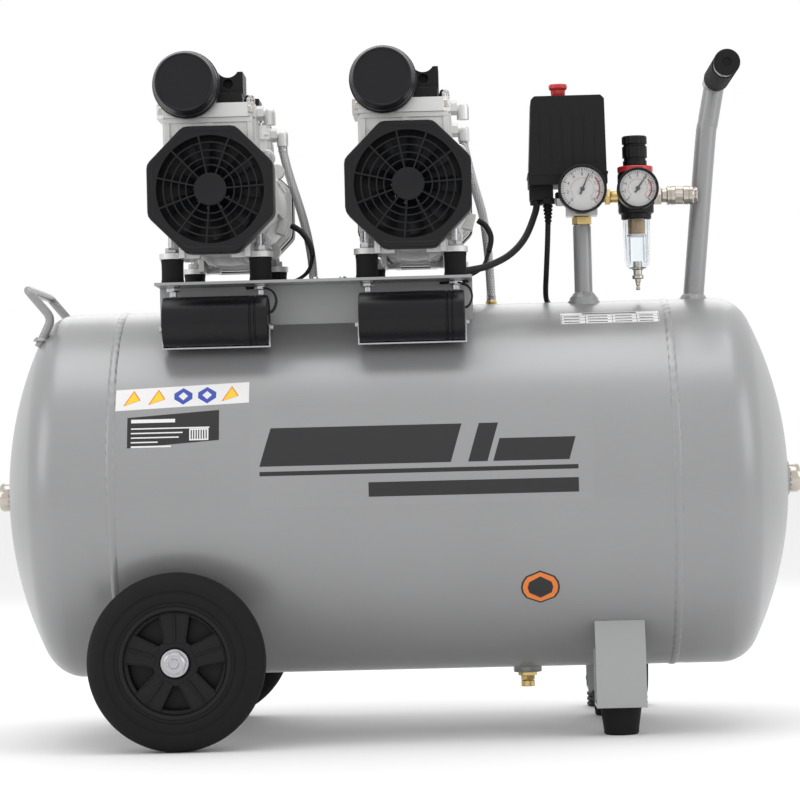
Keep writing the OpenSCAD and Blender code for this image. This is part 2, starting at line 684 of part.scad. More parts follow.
module heads() color(alloy) at_pumps() both_y() {
  difference() {
    block(head_off - head_w / 2, head_off + head_w / 2, case_in_y - 2, case_out_y + 2, neck_top, neck_top + head_h);
    for (s = [-1, 1], dy = [-1, 1]) translate([head_off + s * head_w / 2, cyl_y + dy * 42, neck_top - 1])
      rotate(45) cube([10, 10, 60], center = true);
    translate([0, cyl_y, neck_top - 1]) cylinder(r = bore_r - 6, h = 4);
  }
  // delivery elbow: out to the side, then down into the hose
  translate([head_off + head_w / 2, cyl_y - 4, neck_top + 8]) {
    along_x() hex(14, 7);
    along_x() cylinder(r = 5.5, h = elbow_out);
    translate([elbow_out, 0, 0]) sphere(r = 6.5);
    translate([elbow_out, 0, hose_top_z - shaft_z - neck_top - 8]) cylinder(r = 6.5, h = neck_top + 8 + shaft_z - hose_top_z);
  }
}

module head_covers() color(black) at_pumps() both_y() difference() {
  union() {
    block(head_off - 40, head_off + 39, case_in_y + 10, case_out_y - 4, neck_top + head_h, neck_top + head_h + cover_h);
    block(3, 34, case_in_y + 22, case_out_y - 10, neck_top + head_h + cover_h - 1, neck_top + head_h + cover_h + box_h);
    block(filter_off[0] - 8, 4, cyl_y - 10, cyl_y + 10, neck_top + head_h + cover_h - 1, filter_off[1] + 8);
    translate([filter_off[0], cyl_y - 12, filter_off[1]]) along_y() cylinder(r = 13, h = filter_y0 - cyl_y + 12);
  }
  translate([18, case_out_y - 20, neck_top + head_h + cover_h + 10]) along_y() cylinder(r = 5, h = 20);
  translate([18, cyl_y - 6, neck_top + head_h + cover_h + box_h + 6]) along_y() cylinder(r = 12, h = 80, center = true);
}

module air_filters() color(black) at_pumps() both_y() translate([filter_off[0], filter_y0, filter_off[1]]) along_y() {
  cylinder(r = filter_r, h = 12);
  translate([0, 0, 12 - eps]) cylinder(r = filter_r - 1.5, h = 8);
  translate([0, 0, 20 - 2 * eps]) cylinder(r1 = filter_r - 1.5, r2 = filter_face_r, h = filter_y1 - filter_y0 - 20);
}

module fan_grilles() color(black) at_pumps() both_y() translate([0, case_out_y, 0]) along_y() {
  depth = grille_y - case_out_y;
  difference() {
    octagon(grille_af, depth);
    translate([0, 0, -1]) octagon(grille_af - 2 * grille_t, depth - grille_t + 1);
    cylinder(r = grille_open_r, h = 100);
  }
  translate([0, 0, depth - grille_t]) {
    cylinder(r = grille_hub_r, h = grille_t);
    for (r = grille_rings) ring(r + 0.9, r - 0.9, grille_t - 0.6);
    for (k = [0 : grille_spokes - 1]) rotate(-grille_phase - k * 360 / grille_spokes)
      translate([grille_hub_r - 1, -0.9, 0]) cube([grille_open_r - grille_hub_r + 2, 1.8, grille_t - 0.2]);
  }
}

module crankshaft(px) color(steel) translate([px, 0, shaft_z]) {
  translate([0, -fan_y - 8, 0]) along_y() cylinder(r = shaft_r, h = 2 * fan_y + 16);
  translate([0, -45, 0]) along_y() cylinder(r = rotor_r, h = 90);
  for (s = [-1, 1]) translate([0, s * cyl_y - eccentric_w / 2, -s * throw]) along_y() cylinder(r = eccentric_r, h = eccentric_w);
}

module fans(px) color(black) translate([px, 0, shaft_z]) both_y() translate([0, fan_y, 0]) along_y() difference() {
  union() {
    translate([0, 0, -8]) cylinder(r = 14, h = 16);
    for (k = [0 : fan_blades - 1]) rotate(k * 360 / fan_blades) translate([12, 0, 0]) rotate([35, 0, 0])
      translate([0, -1, -fan_w / 2]) cube([fan_r - 12.4, 2, fan_w]);
  }
  translate([0, 0, -20]) cylinder(r = shaft_r, h = 40);
}

// a rod with its piston; side is -1 at the front (top of stroke) and 1 at the rear (bottom)
module piston(px, side) color(alloy) translate([px, side * cyl_y, shaft_z]) {
  low = -side * throw;
  crown = neck_top - top_gap - throw + low;
  difference() {
    union() {
      translate([0, -rod_w / 2, low]) along_y() cylinder(r = rod_ring_r, h = rod_w);
      block(-9, 9, -rod_w / 2, rod_w / 2, low + eccentric_r + 4, crown - piston_h + 1);
      translate([0, 0, crown - piston_h]) cylinder(r = piston_r, h = piston_h);
    }
    translate([0, -rod_w, low]) along_y() cylinder(r = eccentric_r + run_gap, h = 2 * rod_w);
  }
}

// ---------- air line ----------

module riser_pipe() color(paint) translate([riser_x, line_y, riser_low]) ring(riser_r, riser_r - 2.4, riser_top - riser_low);

module manifold() color(brass) difference() {
  union() {
    translate([riser_x, line_y, riser_top]) hex(19, 9);
    translate([riser_x, line_y, riser_top - 9]) cylinder(r = riser_r - 2.4, h = 20);
    block(riser_x - 18, riser_x + 18, line_y - 14, line_y + 14, riser_top + 9, switch_low);
    // nipple to the regulator
    translate([riser_x + 17, line_y, port_z]) along_x() cylinder(r = 6.5, h = regulator_x - regulator_r - riser_x - 17);
    translate([riser_x + 26, line_y, port_z]) along_x() hex(17, 6);
    // blanked port on the left
    translate([riser_x - 18 - 11, line_y, port_z - 1]) along_x() hex(15, 12);
    // gauge stem to the front
    translate([riser_x, gauge_face_y + gauge_depth, tank_gauge_z]) along_y() cylinder(r = 6, h = line_y - gauge_face_y - gauge_depth);
    // safety valve to the rear
    translate([safety_x, line_y + 13, port_z]) along_y() cylinder(r = 6, h = 8);
    translate([safety_x, line_y + 20, port_z]) along_y() hex(14, 12);
    translate([safety_x, line_y + 32, port_z]) along_y() cylinder(r = 6.4, h = 18);
  }
  translate([safety_x, line_y + 40, port_z]) along_y() cylinder(r = 2 + run_gap, h = 20);
}

module safety_ring() color(zinc) translate([safety_x, 0, port_z]) {
  translate([0, line_y + 42, 0]) along_y() cylinder(r = 2, h = 14);
  translate([-0.8, line_y + 64, 0]) along_x() rotate_extrude() translate([9, 0.8]) circle(r = 0.9);
  translate([0, line_y + 54, 0]) along_y() cylinder(r = 2.6, h = 2);
}

module switch_base() color(black) difference() {
  union() {
    block(switch_x0, switch_x1, switch_y0, switch_y1, switch_low, switch_split);
    // cable glands
    block(switch_x0 + 1, switch_x0 + 27, line_y - 12, line_y + 12, switch_low - 15, switch_low + 1);
    translate([switch_knob_x, switch_knob_y, switch_split - 1]) cylinder(r = 12, h = 20);
  }
  translate([switch_knob_x, switch_knob_y, switch_split + 4]) cylinder(r = 5.2, h = 40);
}

module switch_cover() color(black) difference() {
  x0 = switch_x0 + 0.5;
  x1 = switch_x1 - 0.5;
  translate([0, switch_y1 - 1, 0]) rotate([90, 0, 0]) linear_extrude(switch_y1 - switch_y0 - 2)
    polygon([[x0, switch_split], [x1, switch_split], [x1 - 1, switch_top - 4], [x1 - 5, switch_top],
      [x0 + 8, switch_top], [x0 + 4, switch_top - 4]]);
  translate([0, switch_y1 - 1 - switch_wall, 0]) rotate([90, 0, 0]) linear_extrude(switch_y1 - switch_y0 - 2 - 2 * switch_wall)
    polygon([[x0 + 3, switch_split - 1], [x1 - 3, switch_split - 1], [x1 - 4, switch_top - 6],
      [x1 - 7, switch_top - 3], [x0 + 10, switch_top - 3], [x0 + 7, switch_top - 6]]);
  translate([switch_knob_x, switch_knob_y, switch_top - 10]) cylinder(r = 8.2, h = 20);
}

module switch_knob() color(red) translate([switch_knob_x, switch_knob_y, switch_split]) {
  translate([0, 0, 95]) cylinder(r = 10.2, h = 5);
  translate([0, 0, 36]) cylinder(r = 7.75, h = 59 + eps);
  translate([0, 0, 14]) cylinder(r = 5.1, h = 22 + eps);
}

module gauge_case(x, z, r, stem) translate([x, gauge_face_y, z]) along_y() difference() {
  union() {
    cylinder(r = r, h = gauge_depth);
    translate([0, 0, -1.5]) cylinder(r = r + 0.3, h = 4);
  }
  translate([0, 0, -3]) cylinder(r = r - 2.4, h = 9);
  translate([0, 0, -3]) cylinder(r = 1.3 + run_gap, h = 14);
}
module gauge_cases() color([0.9, 0.9, 0.9]) {
  gauge_case(riser_x, tank_gauge_z, tank_gauge_r);
  gauge_case(regulator_x, outlet_gauge_z, outlet_gauge_r);
}
module gauge_lenses() color([0.85, 0.92, 0.95, 0.35]) {
  translate([riser_x, gauge_face_y - 1, tank_gauge_z]) along_y() cylinder(r = tank_gauge_r - 2.4, h = 1.5);
  translate([regulator_x, gauge_face_y - 1, outlet_gauge_z]) along_y() cylinder(r = outlet_gauge_r - 2.4, h = 1.5);
}
module needle(x, z, r, deg) color(black) translate([x, gauge_face_y, z]) rotate([0, deg, 0]) {
  translate([0, 3.2, 0]) along_y() cylinder(r = 2.4, h = 1.2);
  translate([0, 3.4, 0]) along_y() cylinder(r = 1.3, h = 6);
  translate([0, 4.2, 0]) rotate([90, 0, 0]) linear_extrude(0.8)
    polygon([[-1.1, -r * 0.25], [1.1, -r * 0.25], [0.35, r * 0.72], [-0.35, r * 0.72]]);
}

module regulator_body() color(black) {
  difference() {
    union() {
      translate([regulator_x, line_y, port_z - 19]) cylinder(r = regulator_r, h = 45);
      translate([regulator_x, line_y, port_z - 26]) cylinder(r = 16.5, h = 8);
      translate([regulator_x, gauge_face_y + gauge_depth, outlet_gauge_z]) along_y() cylinder(r = 6, h = line_y - gauge_face_y - gauge_depth);
    }
    translate([regulator_x, line_y, port_z - 27]) cylinder(r = bowl_r - 1.5, h = 5);
    translate([regulator_x, line_y, port_z + 11]) cylinder(r = 6 + run_gap, h = 40);
  }
  color(red) translate([regulator_x, line_y, port_z + 26]) ring(regulator_r, 10, 6.5);
}
module regulator_knob() color(black) translate([regulator_x, line_y, port_z]) {
  difference() {
    translate([0, 0, 32.9]) cylinder(r = 13.8, h = 33);
    for (a = [0 : 20 : 359]) rotate(a) translate([14.3, 0, 35]) cylinder(r = 1.1, h = 40, $fn = 6);
  }
  translate([0, 0, 13]) cylinder(r = 6, h = 22);
}

module filter_bowl() color([0.85, 0.92, 0.95, 0.35]) translate([regulator_x, line_y, port_z]) difference() {
  union() {
    translate([0, 0, -69]) cylinder(r = bowl_r, h = 43);
    translate([0, 0, -69]) sphere(r = bowl_r);
    translate([0, 0, -26 - eps]) cylinder(r = bowl_r - 1.5, h = 4 + eps);
  }
  translate([0, 0, -69]) cylinder(r = bowl_r - 3, h = 60);
  translate([0, 0, -69]) sphere(r = bowl_r - 3);
  translate([0, 0, -99]) cylinder(r = 5, h = 30);
}
module filter_element() color([0.70, 0.50, 0.25]) translate([regulator_x, line_y, port_z]) {
  translate([0, 0, -41]) ring(9.5, 4, 19);
  translate([0, 0, -44]) cylinder(r = 9.5, h = 3 + eps);
}
module bowl_drain() color(brass) translate([regulator_x, line_y, port_z]) {
  translate([0, 0, -103]) cylinder(r = 3.2, h = 12);
  translate([0, 0, -92]) cylinder(r = 6.5, h = 5.5);
  translate([0, 0, -87]) cylinder(r = 4.95, h = 16);
}

module coupler_body() color(zinc) translate([0, line_y, port_z]) difference() {
  union() {
    translate([regulator_x + regulator_r - 1.5, 0, 0]) along_x() cylinder(r = 6.5, h = coupler_x0 - regulator_x - regulator_r + 2.5);
    translate([coupler_x0, 0, 0]) along_x() hex(19, 9);
    translate([coupler_x0 + 9 - eps, 0, 0]) along_x() cylinder(r = 7.9, h = coupler_x1 - coupler_x0 - 9);
    translate([coupler_x1 - 3, 0, 0]) along_x() cylinder(r = 8.8, h = 3);
  }
  translate([coupler_x1 - 26, 0, 0]) along_x() cylinder(r = coupler_bore_r, h = 40);
  translate([regulator_x, 0, -20]) cylinder(r = regulator_r, h = 40);
}
module coupler_sleeve() color(zinc) translate([0, line_y, port_z]) difference() {
  union() {
    translate([302, 0, 0]) along_x() cylinder(r = 10.7, h = 10);
    translate([312, 0, 0]) along_x() cylinder(r = 9.9, h = 8);
    translate([320, 0, 0]) along_x() cylinder(r = 10.7, h = 11.5);
  }
  translate([290, 0, 0]) along_x() cylinder(r = 7.9 + run_gap, h = 60);
}

module discharge_hoses() color(zinc) {
  tube(hose_1, hose_r, 4, 10);
  tube(hose_2, hose_r, 4, 10);
}

// ---------- electrics ----------

module cables() color(rubber) {
  tube(link_route, link_r, 5);
  tube(lead_1, lead_r, 3);
  tube(lead_2, lead_r, 3);
}

module mains_cord() color(rubber) {
  tube(cord_route, cord_r, 3);
  tube(cord_tail, cord_r, 2);
}
// two turns wide and three turns high
module mains_coil() color(rubber) translate([coil_pos[0], coil_pos[1], 0])
  rotate_extrude() translate([coil_r - 2 * cord_r, 0]) square([4 * cord_r, 6 * cord_r]);
module mains_plug() color(rubber) translate(plug_pos) rotate([90, 0, 0]) {
  cylinder(r = 5.5, h = 14);
  translate([0, 0, 14 - eps]) cylinder(r1 = 11, r2 = plug_r, h = 6);
  translate([0, 0, 20 - 2 * eps]) cylinder(r = plug_r, h = 24);
  for (s = [-1, 1]) translate([s * 9.5, 0, 44 - 3 * eps]) cylinder(r = 2.4, h = 19);
}

tank_shell();
tank_heads();
end_plugs();
tank_fittings();
drain_knob();
wheel_brackets();
axle_bolts();
tyre(1);  // front_tyre
rim(1);  // front_rim
tyre(0);  // rear_tyre
rim(0);  // rear_rim
foot_brackets();
rubber_feet();
carry_handle();
push_handle();
handle_grips();
pump_platform();
isolators();
bolts();
capacitors();
capacitor_straps();
crankcases();
bearings();
motor_shells();
stators();
cylinders();
heads();
head_covers();
air_filters();
fan_grilles();
crankshaft(left_pump_x);  // left_crankshaft
crankshaft(right_pump_x);  // right_crankshaft
fans(left_pump_x);  // left_fans
fans(right_pump_x);  // right_fans
piston(left_pump_x, -1);  // left_front_piston
piston(left_pump_x, 1);  // left_rear_piston
piston(right_pump_x, -1);  // right_front_piston
piston(right_pump_x, 1);  // right_rear_piston
riser_pipe();
manifold();
switch_base();
switch_cover();
switch_knob();
gauge_cases();
gauge_lenses();
needle(riser_x, tank_gauge_z, tank_gauge_r, tank_needle_deg);  // tank_needle
needle(regulator_x, outlet_gauge_z, outlet_gauge_r, outlet_needle_deg);  // outlet_needle
regulator_body();
regulator_knob();
filter_bowl();
filter_element();
bowl_drain();
coupler_body();
coupler_sleeve();
safety_ring();
discharge_hoses();
cables();
mains_cord();
mains_coil();
mains_plug();
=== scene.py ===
"""Visual model of a wheeled workshop air compressor.

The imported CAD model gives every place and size. This script builds the visible pieces around it,
dresses every CAD node, and names the body that each piece rides on.
"""
import json
import logging
import math
from dataclasses import dataclass
from enum import Enum
from typing import Callable, Sequence, Union

import bmesh
import bpy
from mathutils import Matrix, Vector


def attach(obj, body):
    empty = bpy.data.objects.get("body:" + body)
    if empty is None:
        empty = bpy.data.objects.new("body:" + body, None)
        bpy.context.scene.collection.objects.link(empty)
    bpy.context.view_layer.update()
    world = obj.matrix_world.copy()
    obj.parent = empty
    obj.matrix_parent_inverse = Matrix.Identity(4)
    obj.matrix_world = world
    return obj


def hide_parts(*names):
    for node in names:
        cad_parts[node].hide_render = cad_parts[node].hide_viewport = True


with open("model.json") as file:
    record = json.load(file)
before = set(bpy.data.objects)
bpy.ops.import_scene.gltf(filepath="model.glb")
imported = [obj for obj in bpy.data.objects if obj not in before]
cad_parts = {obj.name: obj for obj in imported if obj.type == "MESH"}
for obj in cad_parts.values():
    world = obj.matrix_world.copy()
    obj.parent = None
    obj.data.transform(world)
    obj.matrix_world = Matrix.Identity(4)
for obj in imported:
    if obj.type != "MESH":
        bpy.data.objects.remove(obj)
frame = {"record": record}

LOG = logging.getLogger("compressor")
MM = 0.001
FULL_TURN = 2.0 * math.pi
CREASE = 34.0
ORIGIN = (0.0, 0.0, 0.0)
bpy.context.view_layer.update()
Point = Sequence[float]
Value = Union[float, int, tuple, "Sock"]


class Axis(Enum):
    """Direction that a turned or extruded shape points in."""

    X = (1.0, 0.0, 0.0)
    Y = (0.0, 1.0, 0.0)
    Z = (0.0, 0.0, 1.0)
    FRONT = (0.0, -1.0, 0.0)
    LEFT = (-1.0, 0.0, 0.0)
    DOWN = (0.0, 0.0, -1.0)

    def basis(self) -> tuple[Vector, Vector, Vector]:
        """Gives two directions across the axis and the axis itself."""
        w = Vector(self.value)
        u = Vector((1.0, 0.0, 0.0)) if abs(w.x) < 0.5 else Vector((0.0, 1.0, 0.0))
        return u, w.cross(u), w


# ----- shader maths


def _operator(operation: str, swapped: bool = False) -> Callable:
    """Gives a method of Sock that adds one Math node.

    Args:
        operation: The Math node's operation.
        swapped: Whether the other value comes first.

    Returns:
        The method.
    """

    def method(self: "Sock", other: Value = 0.0) -> "Sock":
        """Gives the result for this socket and another value."""
        first, second = (other, self) if swapped else (self, other)
        return self.graph.add("ShaderNodeMath", {"operation": operation}, {0: first, 1: second})

    return method


class Sock:
    """A node socket that takes part in Python expressions."""

    def __init__(self, graph: "Graph", socket: bpy.types.NodeSocket) -> None:
        """Keeps the socket and the graph that it belongs to."""
        self.graph = graph
        self.socket = socket

    __add__ = __radd__ = _operator("ADD")
    __mul__ = __rmul__ = _operator("MULTIPLY")
    __sub__ = _operator("SUBTRACT")
    __rsub__ = _operator("SUBTRACT", swapped=True)
    sine = _operator("SINE")
    largest = _operator("MAXIMUM")


class Graph:
    """Builds the nodes of one material round a Principled shader."""

    def __init__(self, name: str) -> None:
        """Starts a material of that name."""
        self.material = bpy.data.materials.new(name)
        self.material.use_nodes = True
        self.tree = self.material.node_tree
        self.tree.nodes.clear()
        self.output = self.tree.nodes.new("ShaderNodeOutputMaterial")
        self.shader = self.tree.nodes.new("ShaderNodeBsdfPrincipled")
        self.tree.links.new(self.shader.outputs[0], self.output.inputs["Surface"])

    def add(self, kind: str, settings: dict, inputs: dict, output: Union[int, str] = 0) -> Sock:
        """Adds one node.

        Args:
            kind: The node's type.
            settings: Its properties.
            inputs: Values or links for its sockets, by name or number.
            output: The output to give back, by name or number.

        Returns:
            The chosen output.
        """
        node = self.tree.nodes.new(kind)
        for key, value in settings.items():
            setattr(node, key, value)
        for key, value in inputs.items():
            self._feed(node.inputs[key], value)
        return Sock(self, node.outputs[output])

    def _feed(self, socket: bpy.types.NodeSocket, value: Value) -> None:
        """Links a socket to another or sets its value."""
        if isinstance(value, Sock):
            self.tree.links.new(value.socket, socket)
        elif isinstance(value, tuple) and len(value) == 3 and socket.type == "RGBA":
            socket.default_value = (*value, 1.0)
        else:
            socket.default_value = value

    def set(self, **values: Value) -> None:
        """Sets or links the shader's own sockets, named with _ for a space."""
        for name, value in values.items():
            self._feed(self.shader.inputs[name.replace("_", " ")], value)

    def place(self, scale: Point = (1.0, 1.0, 1.0)) -> Sock:
        """Gives Object coordinates, stretched by scale."""
        here = self.add("ShaderNodeTexCoord", {}, {}, "Object")
        return self.add("ShaderNodeMapping", {}, {"Vector": here, "Scale": tuple(scale)})

    def noise(self, scale: float, detail: float = 2.0, stretch: Point = (1.0, 1.0, 1.0)) -> Sock:
        """Gives a noise value from 0 to 1.

        Args:
            scale: Cells per metre.
            detail: How many finer layers it has.
            stretch: Scale along X, Y and Z, for streaks.

        Returns:
            The noise.
        """
        return self.add("ShaderNodeTexNoise", {}, {"Vector": self.place(stretch), "Scale": scale, "Detail": detail})

    def tint(self, mask: Sock, low: Point, high: Point) -> Sock:
        """Mixes two colours.

        Args:
            mask: 0 gives low and 1 gives high.
            low: The first colour.
            high: The second colour.

        Returns:
            The mixed colour.
        """
        return self.add("ShaderNodeMix", {"data_type": "RGBA"}, {0: mask, 6: tuple(low), 7: tuple(high)}, 2)

    def skin(self, shades: Sequence[tuple], mask: Sock, height: Sock, strength: float, distance: float,
            **values: Value) -> None:
        """Sets the whole surface.

        Args:
            shades: Its two colours.
            mask: Where it has the one or the other.
            height: The height of its relief, from 0 to 1.
            strength: How strongly the relief shows.
            distance: The relief's full size, in metres.
            values: The other sockets, named with _ for a space.
        """
        self.set(Base_Color=self.tint(mask, *shades), **values)
        self.bump(height, strength, distance)

    def bump(self, height: Sock, strength: float, distance: float) -> None:
        """Feeds a height to the shader's normal.

        Args:
            height: The height, from 0 to 1.
            strength: How strongly it shows.
            distance: The height's full size, in metres.
        """
        normal = self.add("ShaderNodeBump", {}, {"Height": height, "Strength": strength, "Distance": distance})
        self.set(Normal=normal)


# ----- finishes


@dataclass(frozen=True)
class Finish:
    """A surface finish; its kinds below say how it is built."""

    name: str
    colour: tuple

    def shade(self, graph: Graph) -> None:
        """Builds the nodes; each kind of finish has its own."""
        raise NotImplementedError

    def material(self) -> bpy.types.Material:
        """Gives the material, built the first time that it is asked for."""
        found = bpy.data.materials.get(self.name)
        if found is None:
            graph = Graph(self.name)
            self.shade(graph)
            found = graph.material
        return found

    def shades(self, spread: float) -> tuple[tuple, tuple]:
        """Gives the colour a little darker and a little lighter."""
        return tuple(c * (1.0 - spread) for c in self.colour), tuple(min(1.0, c * (1.0 + spread)) for c in self.colour)


@dataclass(frozen=True)
class SprayedPaint(Finish):
    """Metallic spray paint with fine flakes and orange peel."""

    metallic: float = 0.35
    roughness: float = 0.36
    coat: float = 0.25

    def shade(self, graph: Graph) -> None:
        """Builds flakes, cloudy tone and peel."""
        flakes, clouds, peel = graph.noise(5200.0, 1.0), graph.noise(9.0, 3.0), graph.noise(420.0)
        graph.skin(self.shades(0.13), flakes * 0.7 + clouds * 0.3, peel + flakes * 0.12, 0.10, 0.0004,
            Metallic=self.metallic, Roughness=clouds * 0.10 + (self.roughness - 0.05), Coat_Weight=self.coat,
            Coat_Roughness=0.18)


@dataclass(frozen=True)
class MouldedPlastic(Finish):
    """Moulded plastic with a fine grain and a few rubbed, paler spots."""

    roughness: float = 0.42
    grain: float = 1500.0
    relief: float = 0.18

    def shade(self, graph: Graph) -> None:
        """Builds grain and a slightly uneven gloss."""
        grain, wear = graph.noise(self.grain), graph.noise(28.0, 4.0)
        graph.skin(self.shades(0.16), wear * 0.8 + grain * 0.2, grain, self.relief, 0.0002,
            Roughness=wear * 0.16 + (self.roughness - 0.08), Specular_IOR_Level=0.24)


@dataclass(frozen=True)
class Rubber(Finish):
    """Matt rubber with faint dust."""

    roughness: float = 0.78
    dust: float = 0.5

    def shade(self, graph: Graph) -> None:
        """Builds skin texture and dust."""
        skin, dust = graph.noise(900.0, 3.0), graph.noise(38.0, 5.0)
        graph.skin(self.shades(0.30 * self.dust), dust, skin, 0.22, 0.0002, Roughness=skin * 0.12
            + (self.roughness - 0.06), Specular_IOR_Level=0.2)


@dataclass(frozen=True)
class CastAlloy(Finish):
    """Blasted die cast alloy with pits and a soft cloudy tone."""

    roughness: float = 0.46
    metallic: float = 0.72

    def shade(self, graph: Graph) -> None:
        """Builds pits, cloudiness and a grainy skin."""
        pits, clouds = graph.noise(1300.0, 3.0), graph.noise(30.0, 4.0)
        graph.skin(self.shades(0.12), clouds * 0.6 + pits * 0.4, pits, 0.30, 0.0003, Metallic=self.metallic,
            Roughness=pits * 0.2 + (self.roughness - 0.10))


@dataclass(frozen=True)
class TurnedMetal(Finish):
    """Machined or plated metal with fine streaks across one axis."""

    roughness: float = 0.26
    stretch: tuple = (1.0, 1.0, 14.0)

    def shade(self, graph: Graph) -> None:
        """Builds streaks and a few duller spots."""
        streaks, spots = graph.noise(320.0, 3.0, self.stretch), graph.noise(60.0, 4.0)
        graph.skin(self.shades(0.14), streaks * 0.5 + spots * 0.5, streaks, 0.10, 0.0001, Metallic=1.0,
            Roughness=streaks * 0.16 + spots * 0.08 + (self.roughness - 0.12))


@dataclass(frozen=True)
class ClearPlastic(Finish):
    """Clear plastic or glass with faint haze."""

    roughness: float = 0.04

    def shade(self, graph: Graph) -> None:
        """Builds a clear body with a slightly uneven gloss."""
        haze = graph.noise(45.0, 3.0)
        graph.set(Base_Color=self.colour, Roughness=haze * 0.06 + self.roughness, Transmission_Weight=1.0, IOR=1.46)
        graph.bump(haze, 0.03, 0.0003)


@dataclass(frozen=True)
class PrintedInk(Finish):
    """Printed film or ink: nearly flat colour with a faint mottle."""

    roughness: float = 0.35

    def shade(self, graph: Graph) -> None:
        """Builds a faint mottle."""
        mottle = graph.noise(700.0)
        graph.skin(self.shades(0.05), mottle, mottle, 0.04, 0.0001, Roughness=mottle * 0.08 + (self.roughness - 0.04))


@dataclass(frozen=True)
class WireBraid(Finish):
    """Woven steel wire: crossing diagonal strands on the piece's own UV map."""

    strands: float = 12.0
    pitch: float = 160.0

    def shade(self, graph: Graph) -> None:
        """Builds two crossing sets of strands that pass over and under, with painted shade between them."""
        uv = graph.add("ShaderNodeTexCoord", {}, {}, "UV")
        split = graph.add("ShaderNodeSeparateXYZ", {}, {0: uv}).socket.node
        along, around = (Sock(graph, split.outputs[k]) for k in (0, 1))
        lengthwise = along * (self.pitch * FULL_TURN)
        crosswise = around * (self.strands * FULL_TURN)
        one, two = (lengthwise + crosswise).sine(), (lengthwise - crosswise).sine()
        wires = one.largest(two) * 0.5 + 0.5
        fine = graph.noise(2600.0, 2.0)
        # Painted shade: between the strands the steel is painted down to a quarter of its colour, following the
        # strands' height.
        low = tuple(c * 0.25 for c in self.colour)
        graph.skin((low, self.colour), wires * 0.85 + fine * 0.15, wires, 0.55, 0.0006, Metallic=0.85,
            Roughness=fine * 0.2 + 0.26)


@dataclass(frozen=True)
class Sintered(Finish):
    """Sintered bronze: grains fused together."""

    def shade(self, graph: Graph) -> None:
        """Builds round grains, with painted shade in the pores between them."""
        grains = graph.add("ShaderNodeTexVoronoi", {}, {"Vector": graph.place(), "Scale": 1100.0})
        # Painted shade: the shades are swapped so the grain tops are lighter and the gaps between grains darker.
        graph.skin(self.shades(0.30)[::-1], grains, 1.0 - grains, 0.6, 0.0004, Metallic=0.7,
            Roughness=grains * 0.2 + 0.45)


class Finishes:
    """The finishes of this machine."""

    SILVER = SprayedPaint("silver_paint", (0.285, 0.287, 0.292))
    SILVER_SHEET = SprayedPaint("silver_sheet_paint", (0.345, 0.348, 0.352), roughness=0.42)
    GRILLE = MouldedPlastic("grille_plastic", (0.0070, 0.0070, 0.0085), roughness=0.40)
    CANISTER = MouldedPlastic("canister_plastic", (0.0085, 0.0085, 0.0110), roughness=0.34, relief=0.10)
    COVER = MouldedPlastic("cover_plastic", (0.0065, 0.0065, 0.0075), roughness=0.46)
    SWITCH = MouldedPlastic("switch_plastic", (0.0068, 0.0070, 0.0082), roughness=0.52, relief=0.3)
    RIM = MouldedPlastic("rim_plastic", (0.0062, 0.0062, 0.0070), roughness=0.44)
    FAN = MouldedPlastic("fan_plastic", (0.0080, 0.0090, 0.0120), roughness=0.30)
    RED = MouldedPlastic("red_plastic", (0.62, 0.018, 0.022), roughness=0.30, relief=0.08)
    CAPACITOR = MouldedPlastic("capacitor_plastic", (0.0060, 0.0060, 0.0075), roughness=0.28, relief=0.08)
    TYRE = Rubber("tyre_rubber", (0.0085, 0.0085, 0.0088))
    RUBBER = Rubber("mount_rubber", (0.0075, 0.0075, 0.0080), roughness=0.70)
    GRIP = Rubber("grip_rubber", (0.0090, 0.0090, 0.0095), roughness=0.66)
    SLEEVING = Rubber("cable_jacket", (0.0150, 0.0155, 0.0170), roughness=0.50, dust=0.3)
    ALLOY = CastAlloy("cast_alloy", (0.66, 0.66, 0.65))
    HEAD_ALLOY = CastAlloy("head_alloy", (0.70, 0.70, 0.69), roughness=0.42)
    ZINC = TurnedMetal("zinc_plate", (0.46, 0.46, 0.48))
    NICKEL = TurnedMetal("nickel_plate", (0.50, 0.46, 0.41), roughness=0.18)
    STEEL = TurnedMetal("machined_steel", (0.50, 0.50, 0.52))
    BRASS = TurnedMetal("brass", (0.78, 0.55, 0.22), roughness=0.24)
    COPPER = TurnedMetal("copper_winding", (0.62, 0.27, 0.12), roughness=0.32)
    BRONZE = Sintered("sintered_bronze", (0.46, 0.30, 0.15))
    CLEAR = ClearPlastic("clear_bowl", (0.93, 0.96, 0.98))
    LENS = ClearPlastic("dial_glass", (1.0, 1.0, 1.0), roughness=0.0)
    BRAID = WireBraid("steel_braid", (0.62, 0.62, 0.63))
    DIAL = PrintedInk("dial_white", (0.93, 0.93, 0.92))
    INK_BLACK = PrintedInk("ink_black", (0.012, 0.012, 0.014))
    INK_RED = PrintedInk("ink_red", (0.62, 0.03, 0.03))
    INK_BLUE = PrintedInk("ink_blue", (0.03, 0.06, 0.38))
    INK_YELLOW = PrintedInk("ink_yellow", (0.85, 0.55, 0.02))
    INK_ORANGE = PrintedInk("ink_orange", (0.75, 0.20, 0.03))
    FILM_WHITE = PrintedInk("film_white", (0.72, 0.72, 0.72))
    FILM_CLEAR = SprayedPaint("film_clear", (0.292, 0.294, 0.299), roughness=0.30)
    FLOOR = PrintedInk("studio_floor", (0.86, 0.86, 0.86), roughness=0.8)


# ----- meshes


